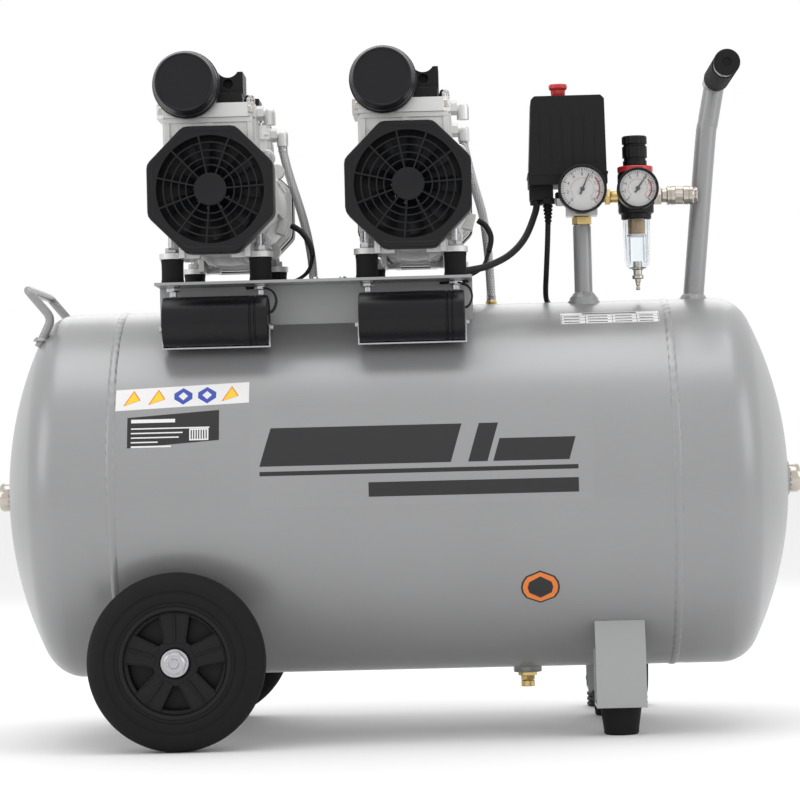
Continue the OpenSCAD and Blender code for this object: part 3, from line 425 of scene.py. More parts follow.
def smooth_route(points: Sequence[Point], steps: int) -> list[Vector]:
    """Runs a Catmull-Rom curve through points.

    Args:
        points: The points, in millimetres.
        steps: Segments between two points.

    Returns:
        The curve's points.
    """
    route = [Vector(p) for p in points]
    out = []
    for i in range(len(route) - 1):
        a, b, c, d = route[max(i - 1, 0)], route[i], route[i + 1], route[min(i + 2, len(route) - 1)]
        for k in range(steps):
            t = k / steps
            out.append(0.5 * (2 * b + (c - a) * t + (2 * a - 5 * b + 4 * c - d) * t * t
                + (3 * b - a - 3 * c + d) * t ** 3))
    out.append(route[-1])
    return out


def strip(start: float, end: float, half: float) -> list[tuple]:
    """Gives a rectangle's outline from start to end, half a width to each side."""
    return [(start, -half), (end, -half), (end, half), (start, half)]


def route_length(points: Sequence[Vector]) -> float:
    """Gives the length of a line through points."""
    return sum((b - a).length for a, b in zip(points, points[1:]))


class Form:
    """Gathers closed shapes, in millimetres, and makes one piece of them in metres."""

    def __init__(self, name: str) -> None:
        """Starts an empty piece of that name."""
        self.name = name
        self.mesh = bmesh.new()
        self.uv = self.mesh.loops.layers.uv.new("UVMap")
        self.slot = 0

    def paint(self, slot: int) -> "Form":
        """Gives the shapes that follow a material slot."""
        self.slot = slot
        return self

    def _face(self, corners: Sequence[bmesh.types.BMVert]) -> None:
        """Adds one face, unless its corners are too few."""
        unique = list(dict.fromkeys(corners))
        if len(unique) >= 3:
            face = self.mesh.faces.new(unique)
            face.material_index = self.slot

    def lathe(self, outline: Sequence[tuple], centre: Point, axis: Axis = Axis.Z, segments: int = 64,
            loop: bool = False, wobble: Callable[[float, int], float] | None = None) -> "Form":
        """Turns an outline round an axis.

        Args:
            outline: Points (radius, height); an open one starts and ends on the axis.
            centre: The axis's base point.
            axis: The axis's direction.
            segments: Steps round the axis.
            loop: Whether the outline closes on itself, as a ring's section does.
            wobble: Adds to a point's radius, from its angle and its number in the outline.

        Returns:
            This form.
        """
        u, v, w = axis.basis()
        base = Vector(centre)
        rings = []
        for number, (radius, height) in enumerate(outline):
            if radius < 1e-6:
                rings.append([self.mesh.verts.new(base + w * height)] * segments)
                continue
            ring = []
            for k in range(segments):
                angle = 2 * math.pi * k / segments
                r = radius + (wobble(angle, number) if wobble else 0.0)
                across = u * (r * math.cos(angle)) + v * (r * math.sin(angle))
                ring.append(self.mesh.verts.new(base + w * height + across))
            rings.append(ring)
        pairs = list(zip(rings, rings[1:]))
        if loop:
            pairs.append((rings[-1], rings[0]))
        for low, high in pairs:
            for k in range(segments):
                n = (k + 1) % segments
                self._face((low[k], low[n], high[n], high[k]))
        return self

    def cylinder(self, radius: float, low: float, high: float, centre: Point, axis: Axis, segments: int) -> "Form":
        """Adds a plain cylinder between two heights over a base point."""
        return self.lathe([(0, low), (radius, low), (radius, high), (0, high)], centre, axis, segments)

    def prism(self, outline: Sequence[tuple], depth: float, centre: Point, axis: Axis = Axis.Z,
            turn: float = 0.0) -> "Form":
        """Extrudes an outline along an axis.

        Args:
            outline: The outline's points, across the axis.
            depth: The length along the axis.
            centre: The point that the outline is drawn round.
            axis: The axis's direction.
            turn: Turns the outline, in degrees.

        Returns:
            This form.
        """
        u, v, w = axis.basis()
        base = Vector(centre)
        c, s = math.cos(math.radians(turn)), math.sin(math.radians(turn))
        low, high = [], []
        for a, b in outline:
            p = base + u * (a * c - b * s) + v * (a * s + b * c)
            low.append(self.mesh.verts.new(p))
            high.append(self.mesh.verts.new(p + w * depth))
        count = len(low)
        for k in range(count):
            n = (k + 1) % count
            self._face((low[k], low[n], high[n], high[k]))
        self._face(low[::-1])
        self._face(high)
        return self

    def block(self, low: Point, high: Point) -> "Form":
        """Adds a box between two corners."""
        outline = [(low[0], low[1]), (high[0], low[1]), (high[0], high[1]), (low[0], high[1])]
        return self.prism(outline, high[2] - low[2], (0.0, 0.0, low[2]))

    def hexagon(self, flats: float, depth: float, centre: Point, axis: Axis = Axis.Z, turn: float = 0.0) -> "Form":
        """Adds a hexagon head with chamfered corners.

        Args:
            flats: The size across its flats.
            depth: Its height.
            centre: The middle of its base.
            axis: The way that it points.
            turn: Turns it, in degrees.

        Returns:
            This form.
        """
        corner = flats / math.sqrt(3)
        shape = [(corner * math.cos(math.radians(60 * k)), corner * math.sin(math.radians(60 * k))) for k in range(6)]
        self.prism(shape, depth * 0.9, centre, axis, turn)
        top = Vector(centre) + Vector(axis.value) * (depth * 0.88)
        return self.lathe([(0.0, 0.0), (flats * 0.49, 0.0), (flats * 0.44, depth * 0.12), (0.0, depth * 0.12)], top,
            axis, 24)

    def pipe(self, route: Sequence[Vector], radius: Union[float, Callable[[float], float]], sides: int = 16) -> "Form":
        """Sweeps a round section along a route, with closed ends and a UV map.

        Args:
            route: The middle line.
            radius: The radius, or a function that gives it from 0 to 1 along the route.
            sides: Points round the section.

        Returns:
            This form.
        """
        total = route_length(route)
        up = Vector((0.13, 0.98, 0.15))
        rings, places, run = [], [], 0.0
        side = None
        for i, here in enumerate(route):
            tangent = (route[min(i + 1, len(route) - 1)] - route[max(i - 1, 0)]).normalized()
            side = tangent.cross(up).normalized() if side is None else (side - tangent * side.dot(tangent)).normalized()
            other = side.cross(tangent)
            run += (here - route[i - 1]).length if i else 0.0
            r = radius(run / total) if callable(radius) else radius
            rings.append([self.mesh.verts.new(here + r * (math.cos(2 * math.pi * k / sides) * side
                + math.sin(2 * math.pi * k / sides) * other)) for k in range(sides)])
            places.append(run * MM)
        for i in range(len(rings) - 1):
            for k in range(sides):
                n = (k + 1) % sides
                face = self.mesh.faces.new((rings[i][k], rings[i][n], rings[i + 1][n], rings[i + 1][k]))
                face.material_index = self.slot
                corners = ((places[i], k), (places[i], k + 1), (places[i + 1], k + 1), (places[i + 1], k))
                for corner, (a, b) in zip(face.loops, corners):
                    corner[self.uv].uv = (a, b / sides)
        self._face(rings[0][::-1])
        self._face(rings[-1])
        return self

    def done(self, body: str, *finishes: Finish, bevel: float = 0.0, slot: str | None = None,
            replaces: Sequence[str] = (), crease: float = CREASE) -> bpy.types.Object:
        """Makes the piece.

        Args:
            body: The body that it rides on.
            finishes: The finishes of its material slots.
            bevel: The width of a bevel on sharp edges, or 0.
            slot: The record's material slot, where it is a new piece; it is not used.
            replaces: The CAD nodes that it stands for.
            crease: Edges sharper than this, in degrees, stay sharp in the shading.

        Returns:
            The Blender object.
        """
        return finish_piece(self.clean_mesh(crease), self.name, body, finishes, bevel, replaces)

    def clean_mesh(self, crease: float = CREASE) -> bpy.types.Mesh:
        """Gives the shapes as one mesh in metres, with shared points and outward faces."""
        bmesh.ops.remove_doubles(self.mesh, verts=self.mesh.verts, dist=0.001)
        bmesh.ops.recalc_face_normals(self.mesh, faces=self.mesh.faces)
        bmesh.ops.scale(self.mesh, vec=(MM, MM, MM), verts=self.mesh.verts)
        shade_by_angle(self.mesh, crease)
        data = bpy.data.meshes.new(self.name)
        self.mesh.to_mesh(data)
        self.mesh.free()
        return data


def shade_by_angle(mesh: bmesh.types.BMesh, crease: float) -> None:
    """Shades faces smooth and keeps sharp edges.

    Args:
        mesh: The mesh to shade.
        crease: Edges sharper than this, in degrees, stay sharp.
    """
    limit = math.radians(crease)
    for face in mesh.faces:
        face.smooth = True
    for edge in mesh.edges:
        edge.smooth = len(edge.link_faces) == 2 and edge.calc_face_angle(0.0) < limit


def finish_piece(data: bpy.types.Mesh, name: str, body: str, finishes: Sequence[Finish], bevel: float,
        replaces: Sequence[str]) -> bpy.types.Object:
    """Puts a mesh in the scene as a dressed piece that rides on a body.

    Args:
        data: The mesh, in metres, in the frame of the model.
        name: The piece's name.
        body: The body that it rides on.
        finishes: The finishes of its material slots.
        bevel: The width of a bevel on sharp edges, in millimetres, or 0.
        replaces: The CAD nodes that it stands for.

    Returns:
        The Blender object.
    """
    piece = bpy.data.objects.new(name, data)
    bpy.context.scene.collection.objects.link(piece)
    for finish in finishes:
        data.materials.append(finish.material())
    if bevel > 0:
        round_edges(piece, bevel)
    if replaces:
        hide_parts(*replaces)
    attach(piece, body)
    LOG.info("%s: %d faces on %s", name, len(data.polygons), body)
    return piece


def round_edges(piece: bpy.types.Object, width: float) -> None:
    """Adds a narrow bevel to sharp edges.

    Args:
        piece: The piece to finish.
        width: The bevel's width, in millimetres.
    """
    modifier = piece.modifiers.new("soft_edges", "BEVEL")
    modifier.width = width * MM
    modifier.segments = 2
    modifier.limit_method = "ANGLE"
    modifier.angle_limit = math.radians(38)
    modifier.harden_normals = True
    modifier.use_clamp_overlap = True


def refine_node(node: str, finish: Finish, bevel: float = 0.0) -> None:
    """Replaces a CAD node by a copy with clean faces and soft edges.

    Args:
        node: The CAD node.
        finish: Its finish.
        bevel: The width of its edge bevel, in millimetres.
    """
    source = bpy.data.objects[node]
    mesh = bmesh.new()
    mesh.from_mesh(source.data)
    bmesh.ops.remove_doubles(mesh, verts=mesh.verts, dist=2e-6)
    bmesh.ops.dissolve_limit(mesh, angle_limit=math.radians(0.4), verts=mesh.verts, edges=mesh.edges)
    shade_by_angle(mesh, CREASE)
    data = bpy.data.meshes.new(node + "_fine")
    mesh.to_mesh(data)
    mesh.free()
    finish_piece(data, node + "_fine", body_of(node), (finish,), bevel, (node,))


def dress_node(node: str, finish: Finish) -> None:
    """Gives a CAD node its finish."""
    slots = bpy.data.objects[node].data.materials
    if len(slots) == 0:
        slots.append(finish.material())
    for i in range(len(slots)):
        slots[i] = finish.material()


def body_of(node: str) -> str:
    """Gives the name of the body that a CAD node belongs to."""
    for name, nodes in frame["record"]["behaviour"]["bodies"].items():
        if node in nodes:
            return name
    raise KeyError(node)


# ----- repeated parts


class Repeat:
    """Geometry Nodes trees that repeat a small part."""

    @staticmethod
    def _tree(name: str, inputs: dict, wire: Callable) -> tuple[bpy.types.GeometryNodeTree, dict]:
        """Gives the tree of that name, built the first time that it is asked for.

        Args:
            name: The tree's name.
            inputs: The socket type of each input beside the geometry.
            wire: Adds the tree's own nodes, from the tree and its inputs, and gives their instances.

        Returns:
            The tree and each input's identifier by name.
        """
        tree = bpy.data.node_groups.get(name)
        if tree is None:
            tree = bpy.data.node_groups.new(name, "GeometryNodeTree")
            for label, kind in {"Geometry": "Geometry", **inputs, "Finish": "Material"}.items():
                tree.interface.new_socket(label, in_out="INPUT", socket_type="NodeSocket" + kind)
            tree.interface.new_socket("Geometry", in_out="OUTPUT", socket_type="NodeSocketGeometry")
            given = tree.nodes.new("NodeGroupInput").outputs
            real = tree.nodes.new("GeometryNodeRealizeInstances")
            dress = tree.nodes.new("GeometryNodeSetMaterial")
            out = tree.nodes.new("NodeGroupOutput")
            for source, target in ((wire(tree, given), real.inputs[0]), (real.outputs[0], dress.inputs["Geometry"]),
                    (given["Finish"], dress.inputs["Material"]), (dress.outputs[0], out.inputs[0])):
                tree.links.new(source, target)
        return tree, {item.name: item.identifier for item in tree.interface.items_tree if item.in_out == "INPUT"}

    @staticmethod
    def _wire_polar(tree: bpy.types.GeometryNodeTree, given: bpy.types.NodeOutputs) -> bpy.types.NodeSocket:
        """Repeats the part round an axis."""
        points = tree.nodes.new("GeometryNodePoints")
        index = tree.nodes.new("GeometryNodeInputIndex")
        angle = tree.nodes.new("ShaderNodeMath")
        angle.operation = "MULTIPLY_ADD"
        turn = tree.nodes.new("FunctionNodeAxisAngleToRotation")
        part = tree.nodes.new("GeometryNodeObjectInfo")
        place = tree.nodes.new("GeometryNodeInstanceOnPoints")
        for source, target in ((given["Count"], points.inputs["Count"]), (given["Centre"], points.inputs["Position"]),
                (index.outputs[0], angle.inputs[0]), (given["Step"], angle.inputs[1]),
                (given["Start"], angle.inputs[2]), (given["Axis"], turn.inputs["Axis"]),
                (angle.outputs[0], turn.inputs["Angle"]), (given["Part"], part.inputs["Object"]),
                (points.outputs[0], place.inputs["Points"]), (part.outputs["Geometry"], place.inputs["Instance"]),
                (turn.outputs[0], place.inputs["Rotation"])):
            tree.links.new(source, target)
        return place.outputs[0]

    @staticmethod
    def _wire_scatter(tree: bpy.types.GeometryNodeTree, given: bpy.types.NodeOutputs) -> bpy.types.NodeSocket:
        """Sets the part on each point, turned at random about Z."""
        chance = tree.nodes.new("FunctionNodeRandomValue")
        chance.data_type = "FLOAT"
        turn = tree.nodes.new("FunctionNodeAxisAngleToRotation")
        part = tree.nodes.new("GeometryNodeObjectInfo")
        place = tree.nodes.new("GeometryNodeInstanceOnPoints")
        low, high, seed = (next(s for s in chance.inputs if s.name == n and s.enabled) for n in ("Min", "Max", "Seed"))
        low.default_value = 0.0
        seed.default_value = 7
        turn.inputs["Axis"].default_value = Axis.Z.value
        value = next(s for s in chance.outputs if s.enabled)
        for source, target in ((given["Most turn"], high), (value, turn.inputs["Angle"]),
                (given["Part"], part.inputs["Object"]), (given["Geometry"], place.inputs["Points"]),
                (part.outputs["Geometry"], place.inputs["Instance"]), (turn.outputs[0], place.inputs["Rotation"])):
            tree.links.new(source, target)
        return place.outputs[0]

    @staticmethod
    def _run(points: Sequence[Point], tree: bpy.types.GeometryNodeTree, names: dict, part: Form, finish: Finish,
            **values: Value) -> bpy.types.Mesh:
        """Runs a tree on some points and gives its result.

        Args:
            points: The host's points, in millimetres.
            tree: The tree.
            names: Each input's identifier by name.
            part: The part to repeat.
            finish: The result's finish.
            values: The other inputs' values, named with _ for a space.

        Returns:
            The result as a plain mesh.
        """
        seed = bpy.data.objects.new(part.name, part.clean_mesh())
        data = bpy.data.meshes.new("host")
        data.from_pydata([tuple(c * MM for c in p) for p in points], [], [])
        host = bpy.data.objects.new("host", data)
        bpy.context.scene.collection.objects.link(host)
        modifier = host.modifiers.new("repeat", "NODES")
        modifier.node_group = tree
        for label, value in {"Part": seed, "Finish": finish.material(), **values}.items():
            modifier[names[label.replace("_", " ")]] = value
        made = bpy.data.meshes.new_from_object(host.evaluated_get(bpy.context.evaluated_depsgraph_get()))
        host.modifiers.remove(modifier)
        bpy.data.objects.remove(host)
        bpy.data.objects.remove(seed)
        made.materials.clear()
        made.materials.append(finish.material())
        return made

    @classmethod
    def polar(cls, part: Form, count: int, centre: Point, finish: Finish, axis: Axis = Axis.FRONT, start: float = 0.0,
            sweep: float = 360.0) -> bpy.types.Mesh:
        """Repeats a part round an axis.

        Args:
            part: The part, drawn round the origin at angle 0.
            count: How many there are.
            centre: The axis's point, in millimetres.
            finish: Their finish.
            axis: The axis's direction.
            start: The first one's angle, in degrees.
            sweep: The angle that they cover; 360 leaves no double at the end.

        Returns:
            The mesh of all of them.
        """
        tree, names = cls._tree("polar_repeat", {"Part": "Object", "Count": "Int", "Start": "Float", "Step": "Float",
            "Axis": "Vector", "Centre": "Vector"}, cls._wire_polar)
        gaps = count if abs(sweep) >= 360.0 else count - 1
        return cls._run([(0.0, 0.0, 0.0)], tree, names, part, finish, Count=count, Start=math.radians(start),
            Step=math.radians(sweep / gaps), Axis=axis.value, Centre=tuple(c * MM for c in centre))

    @classmethod
    def at(cls, part: Form, places: Sequence[Point], finish: Finish, most_turn: float = 60.0) -> bpy.types.Mesh:
        """Sets a part on each of some places.

        Args:
            part: The part, drawn round the origin.
            places: The places, in millimetres.
            finish: Their finish.
            most_turn: The largest chance turn about Z, in degrees.

        Returns:
            The mesh of all of them.
        """
        tree, names = cls._tree("point_repeat", {"Part": "Object", "Most turn": "Float"}, cls._wire_scatter)
        return cls._run(places, tree, names, part, finish, Most_turn=math.radians(most_turn))


def repeated_piece(name: str, body: str, meshes: Sequence[bpy.types.Mesh], bevel: float = 0.0,
        replaces: Sequence[str] = ()) -> None:
    """Makes one piece of repeated parts.

    Args:
        name: The piece's name.
        body: The body that it rides on.
        meshes: The meshes from Repeat.
        bevel: The width of a bevel on sharp edges, in millimetres, or 0.
        replaces: The CAD nodes that it stands for.
    """
    whole = bmesh.new()
    data = bpy.data.meshes.new(name)
    for mesh in meshes:
        first = len(whole.faces)
        whole.from_mesh(mesh)
        whole.faces.ensure_lookup_table()
        material = mesh.materials[0]
        if material.name not in data.materials:
            data.materials.append(material)
        for face in whole.faces[first:]:
            face.material_index = data.materials.find(material.name)
    whole.to_mesh(data)
    whole.free()
    finish_piece(data, name, body, (), bevel, replaces)


def stands_for(first: bool, node: str, slot: str) -> dict:
    """Gives the first of several alike pieces the node that it replaces, and the others a slot name, which is not used.
    """
    return {"replaces": (node,)} if first else {"slot": slot}


def ripple(size: float, waves: float, points: Sequence[int]) -> Callable[[float, int], float]:
    """Gives a lathe's wobble for knurls and weld beads.

    Args:
        size: The height of its waves, in millimetres.
        waves: How many go round.
        points: The outline's points that it moves.

    Returns:
        The function of the angle and the point's number.
    """
    return lambda angle, number: size * math.sin(waves * angle) if number in points else 0.0


# ----- studio


@dataclass
class Studio:
    """Camera, floor and soft lights."""

    eye: tuple = (0.0872, -3.230, 0.2929)
    heading: float = 1.48
    lift: float = 1.24
    tilt: float = 1.45
    lens: float = 131.5
    world: float = 1.0

    def camera(self) -> None:
        """Sets the camera."""
        data = bpy.data.cameras.new("camera")
        data.lens = self.lens
        data.sensor_width = 36.0
        data.clip_end = 50.0
        camera = bpy.data.objects.new("camera", data)
        turns = ((self.heading, "Z"), (self.lift, "X"), (self.tilt, "Y"), (90.0, "X"))
        matrix = Matrix.Translation(self.eye)
        for angle, axis in turns:
            matrix = matrix @ Matrix.Rotation(math.radians(angle), 4, axis)
        camera.matrix_world = matrix
        bpy.context.scene.collection.objects.link(camera)
        bpy.context.scene.camera = camera

    def floor(self) -> None:
        """Lays a pale floor."""
        mesh = bpy.data.meshes.new("floor")
        mesh.from_pydata([(-30, -30, 0), (30, -30, 0), (30, 30, 0), (-30, 30, 0)], [], [(0, 1, 2, 3)])
        mesh.materials.append(Finishes.FLOOR.material())
        floor = bpy.data.objects.new("floor", mesh)
        bpy.context.scene.collection.objects.link(floor)

    def lamp(self, name: str, place: Point, aim: Point, size: tuple[float, float], power: float) -> None:
        """Adds a soft box.

        Args:
            name: Its name.
            place: Where it stands, in metres.
            aim: The point that it faces.
            size: Its width and height, in metres.
            power: Its power, in watts.
        """
        data = bpy.data.lights.new(name, "AREA")
        data.shape = "RECTANGLE"
        data.size, data.size_y = size
        data.energy = power
        lamp = bpy.data.objects.new(name, data)
        facing = (Vector(aim) - Vector(place)).to_track_quat("-Z", "Y")
        lamp.matrix_world = Matrix.Translation(place) @ facing.to_matrix().to_4x4()
        bpy.context.scene.collection.objects.link(lamp)

    def build(self) -> None:
        """Builds the studio."""
        self.camera()
        self.floor()
        world = bpy.data.worlds.new("studio")
        world.use_nodes = True
        sky = world.node_tree.nodes["Background"]
        sky.inputs["Color"].default_value = (1.0, 1.0, 1.0, 1.0)
        sky.inputs["Strength"].default_value = self.world
        bpy.context.scene.world = world
        bpy.context.scene.view_settings.view_transform = "Standard"
        for name, place, aim_z, size, power in (("top_box", (0.0, -0.2, 2.6), 0.3, (2.6, 1.4), 22.0), ("left_box",
                (-2.6, -1.4, 1.5), 0.4, (1.4, 1.8), 11.0), ("right_box", (2.6, -1.2, 1.4), 0.4, (1.4, 1.8), 11.0),
                ("back_box", (0.0, 2.8, 1.9), 0.4, (2.4, 1.4), 14.0)):
            self.lamp(name, place, (0.0, 0.0, aim_z), size, power)
        LOG.info("studio ready")


# ----- mains lead


@dataclass
class MainsLead:
    """Mains cord with its strain relief, coil and plug; it leaves the switch and lies behind the tank."""

    radius: float = 3.0
    route: tuple = ((172, -25, 577), (172, -25, 562), (171, -20, 535), (169, -5, 500), (168, 7, 481), (169, 22, 470.5),
        (173, 42, 465.6), (180, 70, 457.8), (196, 117, 433.4), (214, 156, 397.8), (232, 184.8, 352.6),
        (248, 200.8, 302), (258, 205, 255), (268, 207, 200), (275, 209, 150), (279, 210, 100), (279, 212, 64),
        (279, 218, 40), (279, 230, 23), (279, 245, 15))
    tail: tuple = ((273, 245, 15), (271, 256, 17), (264, 265, 20), (249, 270, 25), (233, 264, 31), (226, 252, 35),
        (225, 244, 35.5), (225, 240, 35.5))
    coil_centre: tuple = (246.0, 245.0)
    columns: tuple = (33.0, 27.0)
    relief_length: float = 26.0
    plug_at: tuple = (225.0, 240.0, 35.5)
    pin_x: float = 9.5

    def coil(self) -> list[Vector]:
        """Winds the coil: down the outer column of turns, in, and up the inner one."""
        outer, inner = self.columns
        levels = (5 * self.radius, 3 * self.radius, self.radius)
        places = [(outer, z) for z in levels] + [(inner, z) for z in reversed(levels)]
        out = []
        for k in range(1, 5 * 24):
            angle = 15 * k
            stage, rest = divmod(angle, 300)
            t = min(rest / 60.0, 1.0)
            t = t * t * (3 - 2 * t)
            before, after = places[max(stage - 1, 0)], places[stage]
            r, z = (a + (b - a) * t for a, b in zip(before, after))
            a = math.radians(angle)
            out.append(Vector((self.coil_centre[0] + r * math.cos(a), self.coil_centre[1] + r * math.sin(a), z)))
        return out

    def cord(self) -> None:
        path = smooth_route(self.route, 4) + self.coil() + smooth_route(self.tail, 4)
        form = Form("mains_cord_line").pipe(path, self.radius, 12)
        piece = form.done("base", Finishes.SLEEVING, replaces=("mains_cord", "mains_coil"), crease=60)
        relief, plug = self.relief(), self.plug()
        LOG.info("cord length %.3f m", route_length(path) * MM)

    def relief(self) -> bpy.types.Object:
        """Builds the ribbed, tapered sleeve where the cord leaves the switch."""
        form = Form("cord_relief")
        ribs, pitch = 6, self.relief_length / 6.5
        outline = [(0.0, 1.0), (6.4, 1.0), (6.4, -1.5)]
        for k in range(ribs):
            wide = 6.0 - 0.42 * k
            low = -1.5 - k * pitch
            outline += [(wide, low), (wide - 0.2, low - pitch * 0.55), (wide - 1.3, low - pitch * 0.6),
                (wide - 1.3, low - pitch * 0.95)]
        outline += [(self.radius + 0.5, -self.relief_length), (0.0, -self.relief_length)]
        form.lathe(outline[::-1], self.route[0], Axis.Z, 32)
        return form.done("base", Finishes.RUBBER, slot="rubber")

    def plug(self) -> bpy.types.Object:
        """Builds the earthed plug: boot, grip body with side clips, and pins."""
        x, y, z = self.plug_at
        form = Form("mains_plug_body")
        outline = [(0, 0), (4.6, 0), (5.3, 2), (4.4, 3.5), (5.4, 5), (4.6, 6.8), (5.5, 8.4), (4.8, 10), (5.5, 12),
            (6.6, 14), (11, 15.5), (15, 19), (16.8, 23), (16.8, 26), (16.0, 27), (16.0, 40), (16.8, 41.2), (16.4, 43.6),
            (0, 44)]
        form.lathe(outline, (x, y, z), Axis.FRONT, 48, wobble=lambda a, n: -1.2 * abs(math.sin(a)) if 10 < n < 18
            else 0.0)
        form.paint(1)
        for side in (-1, 1):
            pin = [(0, 43), (2.4, 43), (2.4, 61), (1.6, 63), (0, 63)]
            form.lathe(pin, (x + side * self.pin_x, y, z), Axis.FRONT, 20)
            form.prism(strip(-2, 2, 1), 12, (x, y - 31, z + side * 15.9), Axis.FRONT)
        return form.done("base", Finishes.RUBBER, Finishes.NICKEL, replaces=("mains_plug",))


# ----- tank


@dataclass
class Tank:
    """Tank: rolled shell, pressed heads, weld seams, sockets, plugs and labels."""

    axis_z: float = 266.0
    radius: float = 200.0
    seam: float = 295.0
    knuckle_x: float = 349.5
    knuckle_r: float = 40.0
    crown_r: float = 400.0
    apex: float = 427.01

    def head(self) -> list[tuple]:
        """Gives the outline of one head from the axis to the seam, as radius and distance along X."""
        crown_x = self.apex - self.crown_r
        edge = math.asin((self.radius - self.knuckle_r) / (self.crown_r - self.knuckle_r))
        crown = [(self.crown_r * math.sin(edge * k / 16), crown_x + self.crown_r * math.cos(edge * k / 16))
            for k in range(1, 17)]
        steps = [edge + (math.pi / 2 - edge) * k / 14 for k in range(1, 15)]
        knuckle = [(self.radius - self.knuckle_r + self.knuckle_r * math.sin(a), self.knuckle_x
            + self.knuckle_r * math.cos(a)) for a in steps]
        return [(0.0, self.apex)] + crown + knuckle + [(self.radius, 330.0), (self.radius, 312.0)]

    def vessel(self) -> None:
        """Builds the shell with both heads."""
        right = self.head()
        shoulder = [(self.radius - 0.25, self.seam + 5.2), (self.radius, self.seam + 4.0),
            (self.radius, self.seam - 4.0)]
        barrel = [(self.radius, x) for x in range(270, -271, -30)]
        outline = right + shoulder + barrel + [(r, -x) for r, x in shoulder[::-1]] + [(r, -x) for r, x in right[::-1]]
        form = Form("tank_vessel").lathe(outline, (0, 0, self.axis_z), Axis.X, 192)
        form.done("base", Finishes.SILVER, replaces=("tank_shell", "tank_heads"), crease=50)

    def seams(self) -> None:
        """Builds the two rippled weld seams and the bosses of the end plugs."""
        form = Form("tank_welds")
        for side in (-1, 1):
            bead = [(self.radius - 2.0, side * (self.seam - 4.6)), (self.radius, side * (self.seam - 4.2)),
                (self.radius + 0.8, side * (self.seam - 2.6)), (self.radius + 1.2, side * self.seam),
                (self.radius + 0.8, side * (self.seam + 2.6)), (self.radius, side * (self.seam + 4.2)),
                (self.radius - 2.0, side * (self.seam + 4.6))]
            form.lathe(bead, (0, 0, self.axis_z), Axis.X, 720, loop=True, wobble=lambda a,
                n: 0.16 * math.sin(90 * a + n) + 0.12 * math.sin(31 * a) if 1 <= n <= 5 else 0.0)
            boss = [(0.0, self.apex - 6), (23.0, self.apex - 6), (21.6, self.apex - 0.6), (19.6, self.apex + 0.3),
                (19.0, self.apex + 2.0), (10.2, self.apex + 2.0), (0.0, self.apex + 1.0)]
            form.lathe([(r, side * x) for r, x in boss], (0, 0, self.axis_z), Axis.X, 64,
                wobble=ripple(0.3, 22, (2, 3)))
        form.done("base", Finishes.SILVER, slot="tank_paint", crease=50)

    def plugs(self) -> None:
        """Builds the two threaded plugs with hexagon sockets."""
        form = Form("tank_end_plugs")
        for side, axis in ((-1, Axis.LEFT), (1, Axis.X)):
            base = (side * (self.apex + 2.0), 0, self.axis_z)
            form.lathe([(0, 0), (15.4, 0), (15.75, 0.6), (15.75, 9.6), (14.2, 12), (9.0, 12), (8.0, 11.2), (8.0, 7.0),
                (0, 7.0)], base, axis, 64, wobble=ripple(0.12, 48, (2, 3)))
        form.done("base", Finishes.NICKEL, replaces=("end_plugs",))

    def sockets(self) -> None:
        """Builds the welded sockets, the drain valve and the check valves."""
        sockets = Form("tank_sockets")
        for x, y, wide, top, low in ((-94, 106, 14, 450, 428), (108, 106, 14, 450, 428), (208.7, -25, 16, 469.5, 455)):
            sockets.lathe([(0, low), (wide + 3.2, low), (wide + 2.6, top - 6.5 if wide > 15 else low + 9),
                (wide, top - 3), (wide - 0.8, top), (0, top)], (x, y, 0), Axis.Z, 48, wobble=ripple(0.4, 14, (1, 2)))
        sockets.lathe([(0, 60), (14.9, 60), (15.5, 61), (15.5, 66), (17.5, 68), (17.5, 72), (0, 72)], (137, 0, 0),
            Axis.Z, 48)
        sockets.done("base", Finishes.SILVER, slot="tank_paint")
        valves = Form("tank_valves")
        valves.hexagon(18, 4.2, (137, 0, 56)).hexagon(14, 4.7, (137, 0, 51.4), turn=20)
        for x in (-94, 108):
            valves.hexagon(19, 12, (x, 106, 450), turn=10)
            valves.lathe([(0, 461), (6.6, 461), (6.6, 464), (6.1, 465), (6.6, 466), (6.6, 469), (6.1, 470), (6.6, 471),
                (6.6, 475), (5.6, 476), (0, 476)], (x, 106, 0), Axis.Z, 32)
        valves.done("base", Finishes.BRASS, replaces=("tank_fittings",), bevel=0.3)

    def drain(self) -> None:
        """Builds the knurled drain knob."""
        knob = Form("drain_grip").lathe([(0, 44), (6.9, 44), (7.5, 44.7), (7.5, 50), (6.8, 50.8), (3.1, 50.8),
            (3.1, 64), (0, 64)], (137, 0, 0), Axis.Z, 60, wobble=ripple(0.35, 30, (2, 3)))
        knob.done("drain", Finishes.BRASS, replaces=("drain_knob",))

    def on_shell(self, x: float, rise: float, lift: float) -> Vector:
        """Gives a point on the shell's front, rise millimetres up round the shell from the axis."""
        angle = rise / self.radius
        r = self.radius + lift
        return Vector((x, -r * math.cos(angle), self.axis_z + r * math.sin(angle)))

